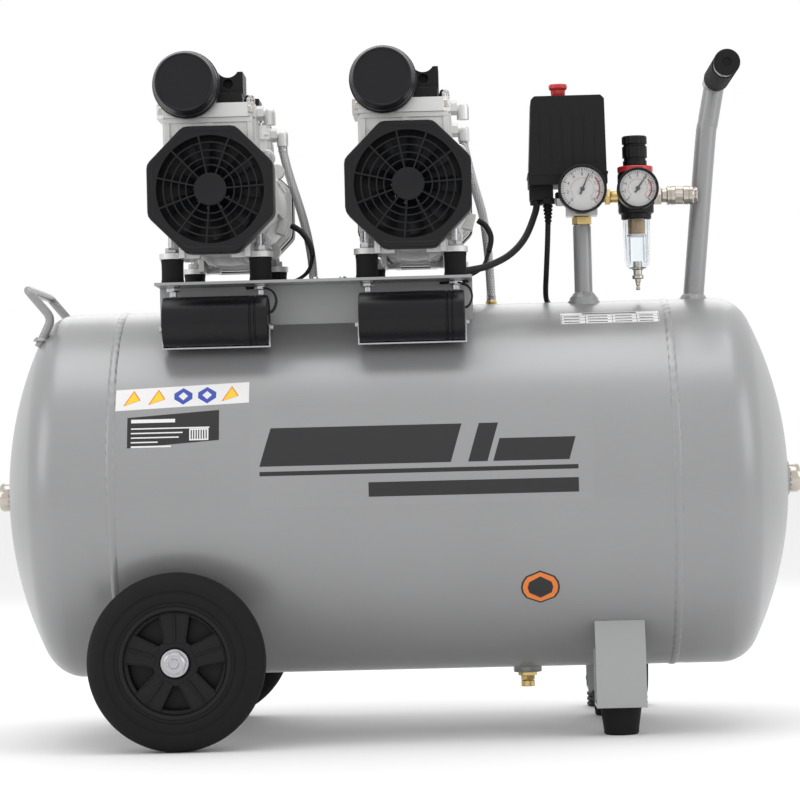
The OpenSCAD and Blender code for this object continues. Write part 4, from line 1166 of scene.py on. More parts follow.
    def label(self, form: Form, outline: Sequence[tuple], lift: float) -> None:
        """Lays a thin film on the shell.

        Args:
            form: The form to add it to.
            outline: Its convex outline, as X and rise, going round once.
            lift: How high its face stands, in millimetres.
        """
        low_rise, high_rise = min(p[1] for p in outline), max(p[1] for p in outline)
        rows = max(1, math.ceil((high_rise - low_rise) / 7.0))
        left, right = [], []
        for k in range(rows + 1):
            rise = low_rise + (high_rise - low_rise) * k / rows
            rise = min(max(rise, low_rise + 1e-4), high_rise - 1e-4)
            cuts = []
            for (xa, ra), (xb, rb) in zip(outline, list(outline[1:]) + [outline[0]]):
                if (ra - rise) * (rb - rise) < 0:
                    cuts.append(xa + (xb - xa) * (rise - ra) / (rb - ra))
            left.append((min(cuts), rise))
            right.append((max(cuts), rise))
        layers = []
        for height in (0.02, lift):
            layers.append([[form.mesh.verts.new(self.on_shell(x, rise, height)) for x,
                rise in side] for side in (left, right)])
        (la, ra), (lb, rb) = layers
        for k in range(rows):
            form._face((la[k], la[k + 1], ra[k + 1], ra[k]))
            form._face((lb[k], rb[k], rb[k + 1], lb[k + 1]))
            form._face((la[k], lb[k], lb[k + 1], la[k + 1]))
            form._face((ra[k], ra[k + 1], rb[k + 1], rb[k]))
        form._face((la[0], ra[0], rb[0], lb[0]))
        form._face((la[-1], lb[-1], rb[-1], ra[-1]))

    @staticmethod
    def box(x0: float, x1: float, low: float, high: float, lean: float = 0.0) -> list[tuple]:
        """Gives a rectangle's outline, its right end lean millimetres higher."""
        return [(x0, low), (x1, low + lean), (x1, high + lean), (x0, high)]

    @staticmethod
    def disc(x: float, rise: float, r: float, count: int = 28) -> list[tuple]:
        """Gives a regular outline round a point; a count of 3 gives a triangle that points up."""
        first = math.pi / 2 + 0.0001
        return [(x + r * math.cos(first + 2 * math.pi * k / count), rise
            + r * math.sin(first + 2 * math.pi * k / count)) for k in range(count)]

    def labels(self) -> None:
        """Builds the labels, with plain shapes in place of all wording."""
        inks = (Finishes.FILM_WHITE, Finishes.INK_BLACK, Finishes.INK_BLUE, Finishes.INK_YELLOW, Finishes.INK_ORANGE,
            Finishes.FILM_CLEAR)
        form = Form("tank_labels")
        white, black, blue, yellow, orange, clear = range(len(inks))

        def lay(slot: int, lift: float, *outlines: Sequence[tuple]) -> None:
            """Lays films of one ink at one height."""
            form.paint(slot)
            for outline in outlines:
                self.label(form, outline, lift)

        lay(white, 0.15, self.box(-290, -150, 92, 120, 4))
        for k, x in enumerate((-271, -245, -219, -194, -168)):
            rise = 106 + (x + 290) * 4 / 140
            if k in (2, 3):
                lay(blue, 0.22, self.disc(x, rise, 10.2))
                lay(white, 0.28, self.disc(x, rise, 5.0))
            else:
                lay(orange, 0.22, self.disc(x, rise - 2.5, 12.5, 3))
                lay(yellow, 0.28, self.disc(x, rise - 2.5, 10.0, 3))
        lay(black, 0.15, self.box(-277, -181, 50, 87, 3.5))
        for k, (width, height) in enumerate(((46, 4.0), (82, 1.4), (54, 1.4), (50, 1.4), (28, 1.4), (42, 1.8))):
            low = 77.5 - k * 5.0 - (2.2 if k else 0)
            lay(white, 0.22, self.box(-273, -273 + width, low, low + height))
        lay(white, 0.22, self.box(-212, -192, 57, 70))
        lay(black, 0.28, *(self.box(-210.5 + k * 2.6, -209.3 + k * 2.6, 58.5, 68.5) for k in range(7)))
        lay(clear, 0.06, self.box(-149, 208, -16, 91))
        lay(black, 0.16, self.box(-139, 192, 17, 21.5), [(-139, 27), (60, 27), (72, 68), (-127, 68)],
            [(78, 27), (98, 27), (110, 68), (90, 68)], [(104, 27), (183, 27), (190, 51), (111, 51)],
            self.box(-26, 192, -7, 8))
        lay(white, 0.15, self.box(181, 286, 205, 234))
        lay(black, 0.22, *(self.box(181.6, 285.4, low, low + 0.5) for low in (205.4, 213, 220, 226.2, 233)))
        lay(black, 0.22, *(self.box(x, x + 0.5, 205.4, 226.6) for x in (181.6, 207, 236, 262, 285)))
        lay(black, 0.22, *(self.box(x, x + width, 208.2 + k * 6.9, 209.8 + k * 6.9) for k in range(3) for x,
            width in ((184, 17), (210, 21), (239, 18), (265, 15))))
        lay(black, 0.22, self.box(204, 262, 228.6, 231.4))
        lay(black, 0.15, self.disc(150, -112, 20.5, 40))
        lay(orange, 0.22, self.disc(150, -112, 18.5, 40))
        lay(black, 0.28, self.disc(150, -112, 13.5, 40))
        form.done("base", *inks, slot="dial", crease=20)

    def build(self) -> None:
        """Builds the tank."""
        self.vessel()
        self.seams()
        self.plugs()
        self.sockets()
        self.drain()
        self.labels()


# ----- wheels and feet


class End(Enum):
    """A mirrored end of the machine and its sign along Y."""

    FRONT = -1
    REAR = 1

    @property
    def word(self) -> str:
        """Gives its name in lower case."""
        return self.name.lower()

    @property
    def axis(self) -> Axis:
        """Gives the way that its outer face looks."""
        return Axis.FRONT if self is End.FRONT else Axis.Y


@dataclass
class Wheel:
    """Solid tyre on a five-spoke rim, with its shoulder bolt."""

    end: End
    x: float = -229.3
    z: float = 92.8
    inner: float = 184.5
    spokes: int = 5

    def tyre(self) -> None:
        """Builds the tyre with its shoulder groove, sidewall rings and tread."""
        half = 21.0
        side = [(58.6, half - 1.0), (60.0, half - 0.2), (61.2, half - 0.2), (62.2, half - 1.1), (63.4, half - 0.3),
            (66.0, half), (71.5, half), (72.6, half - 0.9), (74.0, half - 1.0), (75.2, half - 0.1), (80.0, half - 0.6),
            (84.5, half - 2.6), (88.2, half - 5.6), (91.0, half - 9.0), (92.4, half - 12.4), (92.8, half - 15.5)]
        grooves = [(92.8, 3.6), (91.6, 3.1), (91.6, 1.9), (92.8, 1.4)]
        outline = side + grooves + [(r, -y) for r, y in grooves[::-1]] + [(r, -y) for r, y in side[::-1]]
        base = (self.x, self.end.value * (self.inner + half), self.z)
        form = Form(self.end.word + "_tyre_band").lathe(outline, base, self.end.axis, 144, loop=True)
        form.done(self.end.word + "_wheel", Finishes.TYRE, replaces=(self.end.word + "_tyre",), crease=42)

    def rim(self) -> None:
        """Builds the rim: dished ring, five ribbed spokes, pocket walls and hub."""
        name, base = self.end.word, (self.x, self.end.value * self.inner, self.z)
        form = Form(name + "_rim_dish")
        ring = [(58.5, 1), (58.5, 41), (57.6, 41.3), (54.6, 41.0), (53.4, 39.8), (52.6, 36.0), (50.0, 34.0),
            (49.0, 33.2), (48.4, 30.0), (48.4, 14.0), (53.0, 10.0), (53.0, 1.0)]
        form.lathe(ring, base, self.end.axis, 96, loop=True)
        web = [(16.0, 14.0), (49.0, 14.0), (49.0, 18.5), (16.0, 18.5)]
        form.lathe(web, base, self.end.axis, 72, loop=True)
        hub = [(8.15, 0.2), (15.4, 0.2), (15.4, 30), (23.5, 31.0), (24.6, 33.0), (23.4, 34.2), (17.0, 34.6),
            (15.6, 36.0), (15.2, 38.0), (14.4, 38.8), (8.15, 38.8)]
        form.lathe(hub, base, self.end.axis, 64, loop=True)
        form.done(name + "_wheel", Finishes.RIM, bevel=0.4, replaces=(name + "_rim",))
        spoke = Form("spoke")
        inner_half, outer_half = 11.6, 16.4
        outline = [(20, -inner_half), (50, -outer_half), (51.5, 0), (50, outer_half), (20, inner_half)]
        w = Vector(self.end.axis.value)
        spoke.prism(outline, 17.5, w * 17.2, self.end.axis)
        rib = Form("rib").prism(strip(23, 49, 1.1), 4.0, w * 33.2, self.end.axis)
        edge = Form("edge")
        for side in (-1, 1):
            edge.prism([(24, side * (inner_half + 0.1)), (49.4, side * (outer_half - 0.1)),
                (49.4, side * (outer_half - 1.7)), (24, side * (inner_half - 1.5))][::side], 2.2, w * 33.6,
                self.end.axis)
        start = -90.0 * self.end.value
        meshes = [Repeat.polar(part, self.spokes, base, Finishes.RIM, self.end.axis, start)
                  for part in (spoke, rib, edge)]
        repeated_piece(name + "_rim_spokes", name + "_wheel", meshes, bevel=0.8)

    def bolt(self) -> None:
        """Builds the shoulder bolt with washer and head."""
        y = self.end.value
        form = Form(self.end.word + "_axle_bolt")
        form.cylinder(8, 0, 70, (self.x, y * 154, self.z), self.end.axis, 40)
        form.cylinder(12, 0, 12, (self.x, y * 172, self.z), self.end.axis, 40)
        form.hexagon(20, 11, (self.x, y * 157, self.z), self.end.axis)
        form.lathe([(0, 0), (14.2, 0), (14.5, 0.3), (14.5, 1.6), (14.0, 2.0), (0, 2.0)], (self.x, y * 223.7, self.z),
            self.end.axis, 40)
        form.hexagon(22.5, 7.0, (self.x, y * 225.7, self.z), self.end.axis, 12)
        form.lathe([(0, 6.8), (5.6, 6.8), (4.6, 8.6), (0, 9.0)], (self.x, y * 225.7, self.z), self.end.axis, 24)
        form.done("base", Finishes.ZINC, bevel=0.3, **stands_for(self.end is End.FRONT, "axle_bolts", "zinc"))

    def build(self) -> None:
        """Builds the wheel."""
        self.tyre()
        self.rim()
        self.bolt()


@dataclass
class Feet:
    """Rubber feet, folded brackets and the wheel brackets."""

    x: float = 233.0
    y: float = 118.0

    def build(self) -> None:
        """Builds the feet and dresses the brackets."""
        form = Form("rubber_feet_blocks")
        for side in (-1, 1):
            outline = [(0, 12), (8.5, 12), (8.5, 0.4), (9.2, 0), (16.6, 0), (17.8, 0.8), (18.4, 3), (19.6, 12),
                (20.9, 21), (21.9, 27.4), (22.4, 28.2), (22.4, 29.4), (21.8, 30), (0, 30)]
            form.lathe(outline, (self.x, side * self.y, 0), Axis.Z, 64)
            lugs = 14
            for k in range(lugs):
                a = 2 * math.pi * k / lugs
                form.prism(strip(-1.6, 1.6, 0.9), 1.2, (self.x + 17.0 * math.cos(a), side * self.y + 17.0 * math.sin(a),
                    2.0), Axis.Z, math.degrees(a))
        form.done("base", Finishes.RUBBER, replaces=("rubber_feet",), crease=30)
        refine_node("foot_brackets", Finishes.SILVER_SHEET, 0.9)
        refine_node("wheel_brackets", Finishes.SILVER_SHEET, 0.9)


# ----- handles and platform


def bent_bar(corner_points: Sequence[Point], radius: float, steps: int = 8) -> list[Vector]:
    """Rounds the corners of a bar's middle line.

    Args:
        corner_points: The line's points, in millimetres.
        radius: How far from a corner its bend starts.
        steps: Segments in a bend.

    Returns:
        The middle line.
    """
    points = [Vector(p) for p in corner_points]
    out = [points[0]]
    for before, here, after in zip(points, points[1:], points[2:]):
        a = here + (before - here).normalized() * radius
        b = here + (after - here).normalized() * radius
        out += [a * (1 - t) ** 2 + here * 2 * t * (1 - t) + b * t ** 2 for t in (k / steps for k in range(steps + 1))]
    out.append(points[-1])
    return out


@dataclass
class Handles:
    """Push handle with its grip, and the carry handle."""

    bar: tuple = (360.0, 0.0, 705.0)
    bar_r: float = 12.5
    bar_len: float = 160.0
    grip_wall: float = 1.5
    post: tuple = ((328.0, 0, 446), (330.9, 0, 473), (347.9, 0, 637), (351.6, 0, 660), (357.0, 0, 688), (360, 0, 703))
    post_r: float = 11.3
    carry: tuple = ((-383, -85, 428), (-368, -85, 459), (-394, -85, 490.5), (-394, 85, 490.5), (-368, 85, 459),
        (-383, 85, 428))
    carry_r: float = 4.75

    def build(self) -> None:
        """Builds both handles."""
        steel = Form("push_handle_tube")
        steel.pipe(smooth_route(self.post, 5), self.post_r, 40)
        tube = [(0, -self.bar_len), (self.bar_r, -self.bar_len), (self.bar_r, self.post_r - 1.2),
            (self.bar_r - 1.2, self.post_r), (0, self.post_r)]
        steel.lathe(tube, self.bar, Axis.Y, 48)
        steel.lathe([(0, 0), (16.6, 0), (15.0, 2.6), (12.6, 6.5), (11.0, 8.0), (0, 8)], (330.0, 0, 463.6), Axis.Z, 48,
            wobble=ripple(0.45, 13, (2, 3)))
        steel.done("base", Finishes.SILVER, replaces=("push_handle",))
        grips = Form("push_handle_grips")
        wide = self.bar_r + self.grip_wall
        sleeve = [(self.bar_r - 0.4, 30), (wide - 0.5, 30), (wide, 31.0)]
        for k in range(24):
            low = 36 + k * 4.1
            sleeve += [(wide, low), (wide - 0.45, low + 0.5), (wide - 0.45, low + 1.2), (wide, low + 1.7)]
        sleeve += [(wide, 136.5), (wide - 0.5, 138), (self.bar_r - 0.4, 138)]
        grips.lathe(sleeve, self.bar, Axis.FRONT, 56, loop=True)
        cap = [(0, self.bar_len - 12), (self.bar_r - 1.6, self.bar_len - 12), (self.bar_r - 1.6, self.bar_len),
            (wide, self.bar_len), (wide, self.bar_len + 4.6), (wide - 1.2, self.bar_len + 6), (5.6, self.bar_len + 6),
            (4.6, self.bar_len + 5.2), (3.8, self.bar_len + 4), (0, self.bar_len + 4)]
        grips.lathe(cap, self.bar, Axis.FRONT, 56)
        grips.done("base", Finishes.GRIP, replaces=("handle_grips",), crease=30)
        rod = Form("carry_handle_bar").pipe(bent_bar(self.carry, 9.0), self.carry_r, 24)
        for side in (-1, 1):
            rod.lathe([(0, 0), (8.4, 0), (7.0, 2.6), (5.0, 4.4), (0, 4.6)], (-380.6, side * self.carry[5][1], 434.4),
                Axis.Z, 24, wobble=ripple(0.35, 9, (1, 2)))
        rod.done("base", Finishes.SILVER, replaces=("carry_handle",))


@dataclass
class Platform:
    """Sheet platform with rubber isolators, their nuts, and the capacitors."""

    top: float = 490.5
    sheet: float = 3.0
    pumps: tuple = (-185.0, 22.5)
    dx: float = 47.0
    dy: float = 125.0
    isolator_r: float = 12.25
    isolator_h: float = 25.5
    can_r: float = 27.0
    can_half: float = 56.0
    can_y: float = -145.0
    can_z: float = 447.5

    def stud_places(self, z: float) -> list[tuple]:
        """Gives the places of the eight studs at a height."""
        return [(x + sx * self.dx, sy * self.dy, z) for x in self.pumps for sx in (-1, 1) for sy in (-1, 1)]

    def mounts(self) -> None:
        """Builds the isolators, the cable grommet, and the studs with their nuts."""
        form = Form("isolator_blocks")
        r, h = self.isolator_r, self.isolator_h
        outline = [(0, 0.1), (r - 0.5, 0.1), (r, 0.9), (r, 2.0), (r - 0.45, 4.5), (r - 0.6, h / 2), (r - 0.45, h - 4.5),
            (r, h - 2.0), (r, h - 0.9), (r - 0.5, h - 0.1), (0, h - 0.1)]
        for place in self.stud_places(self.top):
            form.lathe(outline, place, Axis.Z, 48)
        form.lathe([(3.8, -5.5), (9.2, -5.5), (9.2, -3.2), (8.0, -3.0), (8.0, 0), (10.4, 0.1), (10.2, 1.4), (6.0, 1.8),
            (3.8, 0.6)], (74, -98, self.top), Axis.Z, 32, loop=True)
        form.done("base", Finishes.RUBBER, replaces=("isolators",))
        nut = Form("nut").lathe([(3.6, 0.2), (6.9, 0.0), (7.5, 0.9), (7.5, 5.6), (6.9, 6.4), (3.6, 6.4)], ORIGIN,
            Axis.Z, 6, loop=True)
        stud = Form("stud").lathe([(0, -15.5), (3.2, -15.5), (4.0, -14.6), (4.0, 50.6), (3.3, 51.4), (0, 51.4)], ORIGIN,
            Axis.Z, 16)
        washer = Form("washer").lathe([(4.1, -1.0), (8.6, -1.0), (8.6, 0), (4.1, 0)], ORIGIN, Axis.Z, 24, loop=True)
        screw = Form("screw").lathe([(0, 0), (4.2, 0), (4.2, 4.4), (3.6, 5.0), (2.1, 5.0), (1.9, 3.0), (0, 3.0)],
            ORIGIN, Axis.Z, 20)
        foot_nut = Form("foot_nut").lathe([(0, -21), (4, -21), (4, 1), (7.5, 1), (7.5, 6.5), (4, 6.5), (4, 11),
            (0, 11)], ORIGIN, Axis.Z, 12)
        heads = [(x - 6 + sx * 45, sy * 110 + d, 679) for x in self.pumps for sx in (-1, 1) for sy in (-1, 1)
            for d in (-30, 30)]
        low, up = self.top - self.sheet - 6.5, self.top + self.isolator_h + 6.0
        meshes = [Repeat.at(part, places, Finishes.ZINC) for part, places in ((nut,
            self.stud_places(low) + self.stud_places(up)), (stud, self.stud_places(self.top)), (washer,
            self.stud_places(self.top - self.sheet - 0.02)), (screw, heads),
            (foot_nut, [(233, -118, 32), (233, 118, 32)]))]
        repeated_piece("stud_and_nuts", "base", meshes, bevel=0.25, replaces=("bolts",))

    def capacitors(self) -> None:
        """Builds the capacitor cans with their grooves, terminals, leads and straps."""
        for number, x in enumerate(self.pumps):
            r, half, y, z = self.can_r, self.can_half, self.can_y, self.can_z
            can = Form(f"capacitor_can_{number + 1}")
            can.lathe([(0, -half), (r - 2.4, -half), (r - 0.6, -half + 0.8), (r, -half + 2.6), (r, half - 20),
                (r - 0.9, half - 19.4), (r - 0.9, half - 18.2), (r, half - 17.4), (r, half - 14.5),
                (r - 0.7, half - 14), (r - 0.7, half - 13), (r, half - 12.4), (r, half - 2.2), (r - 0.8, half - 0.6),
                (r - 2.4, half), (r - 3.4, half - 1.6), (0, half - 1.6)], (x, y, z), Axis.X, 72)
            can.paint(1)
            for post in (y - 6, y + 6):
                can.lathe([(0, 0), (3, 0), (3, 5), (2.4, 6.6), (0, 7)], (x + 48, post, z + 8), Axis.X, 20)
                lead = [(x + 53, post, z + 8), (x + 60, post, z + 10), (x + 64, post + 3, z + 20),
                    (x + 60, post + 9, z + 31), (x + 48, post + 22, z + 36), (x + 30, post + 38, z + 37)]
                can.pipe(smooth_route(lead, 5), 1.1, 8)
            can.done("base", Finishes.CAPACITOR, Finishes.SLEEVING,
                **stands_for(number == 0, "capacitors", "black_plastic"))
        refine_node("capacitor_straps", Finishes.ZINC, 0.4)

    def build(self) -> None:
        """Builds the platform."""
        refine_node("pump_platform", Finishes.SILVER_SHEET, 0.9)
        self.mounts()
        self.capacitors()
        form = Form("platform_screws")
        for x in (-82, -52):
            form.lathe([(0, 0), (8.5, 0), (8.2, 1.2), (4.5, 1.4), (4.3, 3.4), (3.2, 4.6), (0, 5)], (x, -95, self.top),
                Axis.Z, 24)
        form.done("base", Finishes.STEEL, slot="zinc")


# ----- pumps


class Side(Enum):
    """One of the two pumps and its shaft's X."""

    LEFT = -185.0
    RIGHT = 22.5


@dataclass
class Pump:
    """Twin-cylinder pump: details of its castings, grilles, canisters and fans."""

    side: Side
    shaft_z: float = 585.0
    grille_flats: float = 133.0
    grille_back: float = 150.0
    grille_front: float = 183.0
    opening_r: float = 56.5
    hub_r: float = 17.3
    rings: tuple = (25.5, 33.0, 41.0, 49.4)
    bars: int = 11
    phase: float = 3.1
    canister_x: float = -24.0
    canister_z: float = 112.0
    blades: int = 9

    @property
    def name(self) -> str:
        """Gives the pump's name."""
        return self.side.name.lower()

    def role(self, end: End, node: str) -> dict:
        """Says what a piece of this pump's end stands for; the left pump's front comes first."""
        return stands_for((self.side, end) == (Side.LEFT, End.FRONT), node, "black_plastic")

    @staticmethod
    def octagon(flats: float, turn: float = 0.0, soft: float = 0.0) -> Callable[[float], float]:
        """Gives a function that turns a round section into an octagon.

        Args:
            flats: The size across its flats.
            turn: Turns it, in degrees.
            soft: How much its corners are cut back, in millimetres.

        Returns:
            The function, which adds to a radius of half of flats.
        """
        half = flats / 2

        def swell(angle: float) -> float:
            """Gives how far the octagon stands outside the circle at an angle."""
            off = (math.degrees(angle) - turn + 22.5) % 45.0 - 22.5
            return min(half / math.cos(math.radians(off)), half / math.cos(math.radians(22.5)) - soft) - half

        return swell

    def grille(self, end: End) -> None:
        """Builds one octagonal grille with its rings, bars and hub."""
        axis, base = end.axis, (self.side.value, 0, self.shaft_z)
        half, front, back, hole = self.grille_flats / 2, self.grille_front, self.grille_back, self.opening_r
        swell = self.octagon(self.grille_flats, 0.0, 0.9)
        frame_name = f"{self.name}_{end.word}_grille"
        form = Form(frame_name)
        outline = [(half, back), (half, front - 2.0), (half - 0.5, front - 0.6), (half - 1.8, front),
            (half - 5.4, front), (half - 6.2, front - 0.7), (hole + 1.6, front - 0.7), (hole + 0.4, front - 1.2),
            (hole, front - 2.2), (hole, front - 5.0), (hole + 1.4, front - 5.0), (half - 2.6, front - 3.4),
            (half - 2.6, back)]
        form.lathe(outline, base, axis, 96, loop=True, wobble=lambda a, n: swell(a) if n < 6 or n > 10 else 0.0)
        for r in self.rings:
            form.lathe([(r - 0.75, front - 3.6), (r + 0.75, front - 3.6), (r + 0.75, front - 1.5),
                (r + 0.3, front - 1.1), (r - 0.3, front - 1.1), (r - 0.75, front - 1.5)], base, axis, 96, loop=True)
        form.lathe([(19, back), (62.5, back), (62.5, back + 1.5), (19, back + 1.5)], base, axis, 72, loop=True)
        form.lathe([(0, front - 3.4), (self.hub_r, front - 3.4), (self.hub_r, front - 0.9),
            (self.hub_r - 0.8, front - 0.1), (self.hub_r - 2.4, front), (self.hub_r - 3.0, front - 0.35),
            (0, front - 0.35)], base, axis, 64)
        form.done("base", Finishes.GRILLE, **self.role(end, "fan_grilles"))
        w = Vector(axis.value)
        bar = Form("bar").prism([(self.hub_r - 1, -0.85), (hole + 1, -0.95), (hole + 1, 0.95), (self.hub_r - 1, 0.85)],
            2.7, w * (front - 3.3), axis)
        start = self.phase if end is End.FRONT else -self.phase
        bars = Repeat.polar(bar, self.bars, base, Finishes.GRILLE, axis, start)
        repeated_piece(frame_name + "_bars", "base", [bars], bevel=0.3)

    def canister(self, end: End) -> None:
        """Builds one intake filter canister and its neck."""
        axis = end.axis
        base = (self.side.value + self.canister_x, 0, self.shaft_z + self.canister_z)
        form = Form(f"{self.name}_{end.word}_canister")
        outline = [(0, 157), (14, 157), (33.5, 158.0), (35.2, 158.8), (35.7, 160.2), (35.7, 168.4), (35.0, 169.6),
            (34.5, 170.2), (34.3, 171.2), (34.3, 178.4), (33.9, 180.2), (32.8, 182.6), (31.6, 186.4), (31.2, 188.4),
            (30.5, 189.6), (29.7, 190.0), (29.0, 189.7), (28.7, 188.9), (28.2, 188.5), (20.0, 188.6), (0, 188.7)]
        form.lathe(outline, base, axis, 96)
        form.done("base", Finishes.CANISTER, crease=24, **self.role(end, "air_filters"))

    def castings(self, end: End) -> None:
        """Builds the raised panels, ribs, lugs and bolts of one crankcase and head."""
        x, z, sign = self.side.value, self.shaft_z, end.value
        form = Form(f"{self.name}_{end.word}_case_details")

        def slab(x0: float, x1: float, y0: float, y1: float, z0: float, z1: float) -> None:
            """Adds a box; Y is counted outwards and the rest from the shaft."""
            low, high = sorted((sign * y0, sign * y1))
            form.block((x + x0, low, z + z0), (x + x1, high, z + z1))

        slab(-50, 44, 143.5, 149.2, 73.5, 79)
        for x0, x1 in ((-50, -44), (38, 44), (-6, 1.5)):
            slab(x0, x1, 143.5, 149.0, 41, 73.6)
        slab(-46, -8, 144.5, 148.0, 60, 61.4)
        for y in (80, 95, 110, 125, 140):
            for x0, x1 in ((42, 46.5), (-52.5, -48)):
                slab(x0, x1, y - 1.4, y + 1.4, 44, 78)
        for k in range(7):
            slab(-57.5, 45.5, 72 + k * 12.2, 74.4 + k * 12.2, 92.5, 94.6)
        slab(-57, 45, 69, 151, 83.4, 85.6)
        base = (x, 0, z)
        axis = end.axis
        swell = self.octagon(124.0, 0.0, 1.0)
        flange = [(60.0, 143.0), (64.6, 143.0), (65.2, 144.0), (65.2, 149.0), (64.4, 149.9), (60.0, 149.9)]
        form.lathe(flange, base, axis, 96, loop=True, wobble=lambda a, n: swell(a))
        w, top = Vector(axis.value), -90 * sign
        for y in (84, 97, 110, 123):
            for turn in range(0, 360, 45):
                if (turn - top) % 360:
                    form.prism(strip(61, 63.2, 25.6), 2.6, Vector(base) + w * y, axis, turn)
        form.paint(1)
        for angle in (38, -46, 142, -134):
            a = math.radians(angle)
            place = (x + 68 * math.cos(a), sign * 84, z + 68 * math.sin(a))
            form.paint(0).lathe([(0, -13), (8.6, -13), (8.6, 0.4), (7.6, 1.4), (0, 1.4)], place, axis, 32)
            form.paint(1).cylinder(6.6, 1.4, 2.6, place, axis, 24)
            form.hexagon(10, 5.4, (place[0], place[1] + sign * 2.6, place[2]), axis, angle)
        form.done("base", Finishes.ALLOY, Finishes.ZINC, bevel=0.7, slot="alloy")

    def port(self, end: End) -> None:
        """Builds the small fittings on one head: elbow nut, plug and cover clips."""
        x, z, sign = self.side.value, self.shaft_z, end.value
        axis = end.axis
        form = Form(f"{self.name}_{end.word}_port")
        form.lathe([(0, 94), (5.6, 94), (5.6, 99), (4.6, 100), (4.6, 103), (3.4, 104), (0, 104)],
            (x + 40, sign * 128, z), Axis.Z, 24)
        form.hexagon(9, 4, (x + 40, sign * 128, z + 98))
        for clip_x in (x + 40, x - 52):
            form.lathe([(0, 0), (4.2, 0), (4.2, 3.0), (3.4, 3.6), (0, 3.6)], (clip_x, sign * 148, z + 87), axis, 20)
        form.done("base", Finishes.NICKEL, bevel=0.2, slot="zinc")

    def fan(self) -> None:
        """Builds both fans with their twisted blades."""
        meshes = []
        for end in End:
            blade = Form("blade")
            rows = []
            for k in range(8):
                r = 12.5 + k * 39.2 / 7
                pitch = math.radians(52 - 20 * k / 7) * end.value
                row = []
                for t in (-1.0, -0.5, 0.0, 0.5, 1.0):
                    chord = (7.5 + 2.0 * k / 7) * t
                    camber = 1.3 * (1 - t * t)
                    for side in (-0.7, 0.7):
                        across = chord * math.cos(pitch) - (camber + side) * math.sin(pitch)
                        along = chord * math.sin(pitch) + (camber + side) * math.cos(pitch)
                        row.append(blade.mesh.verts.new((r, along, across)))
                rows.append(row)
            ring = [0, 2, 4, 6, 8, 9, 7, 5, 3, 1]
            for a, b in zip(rows, rows[1:]):
                for i, j in zip(ring, ring[1:] + ring[:1]):
                    blade._face((a[i], a[j], b[j], b[i]))
            blade._face([rows[0][i] for i in ring])
            blade._face([rows[-1][i] for i in ring[::-1]])
            place = (self.side.value, end.value * 167.0, self.shaft_z)
            meshes.append(Repeat.polar(blade, self.blades, place, Finishes.FAN, Axis.FRONT))
            hub = Form("fan_hub").lathe([(7.4, -8), (14, -8), (14, 6.5), (12.8, 8), (7.4, 8)], ORIGIN, Axis.FRONT, 40,
                loop=True)
            meshes.append(Repeat.at(hub, [place], Finishes.FAN, 0.0))
        repeated_piece(f"{self.name}_fan_blades", f"{self.name}_crank", meshes, replaces=(f"{self.name}_fans",))

    def build(self) -> None:
        """Builds the pump."""
        for end in End:
            self.grille(end)
            self.canister(end)
            self.castings(end)
            self.port(end)
        self.fan()
        dress_node(f"{self.name}_crankshaft", Finishes.STEEL)
        for end in End:
            dress_node(f"{self.name}_{end.word}_piston", Finishes.ALLOY)


def dress_pump_castings() -> None:
    """Dresses the nodes that both pumps share."""
    for node, finish, bevel in (("crankcases", Finishes.ALLOY, 1.0), ("motor_shells", Finishes.ALLOY, 0.6),
            ("heads", Finishes.HEAD_ALLOY, 1.3), ("head_covers", Finishes.COVER, 0.9)):
        refine_node(node, finish, bevel)
    for node, finish in (("bearings", Finishes.STEEL), ("stators", Finishes.COPPER), ("cylinders", Finishes.ALLOY)):
        dress_node(node, finish)


# ----- air line


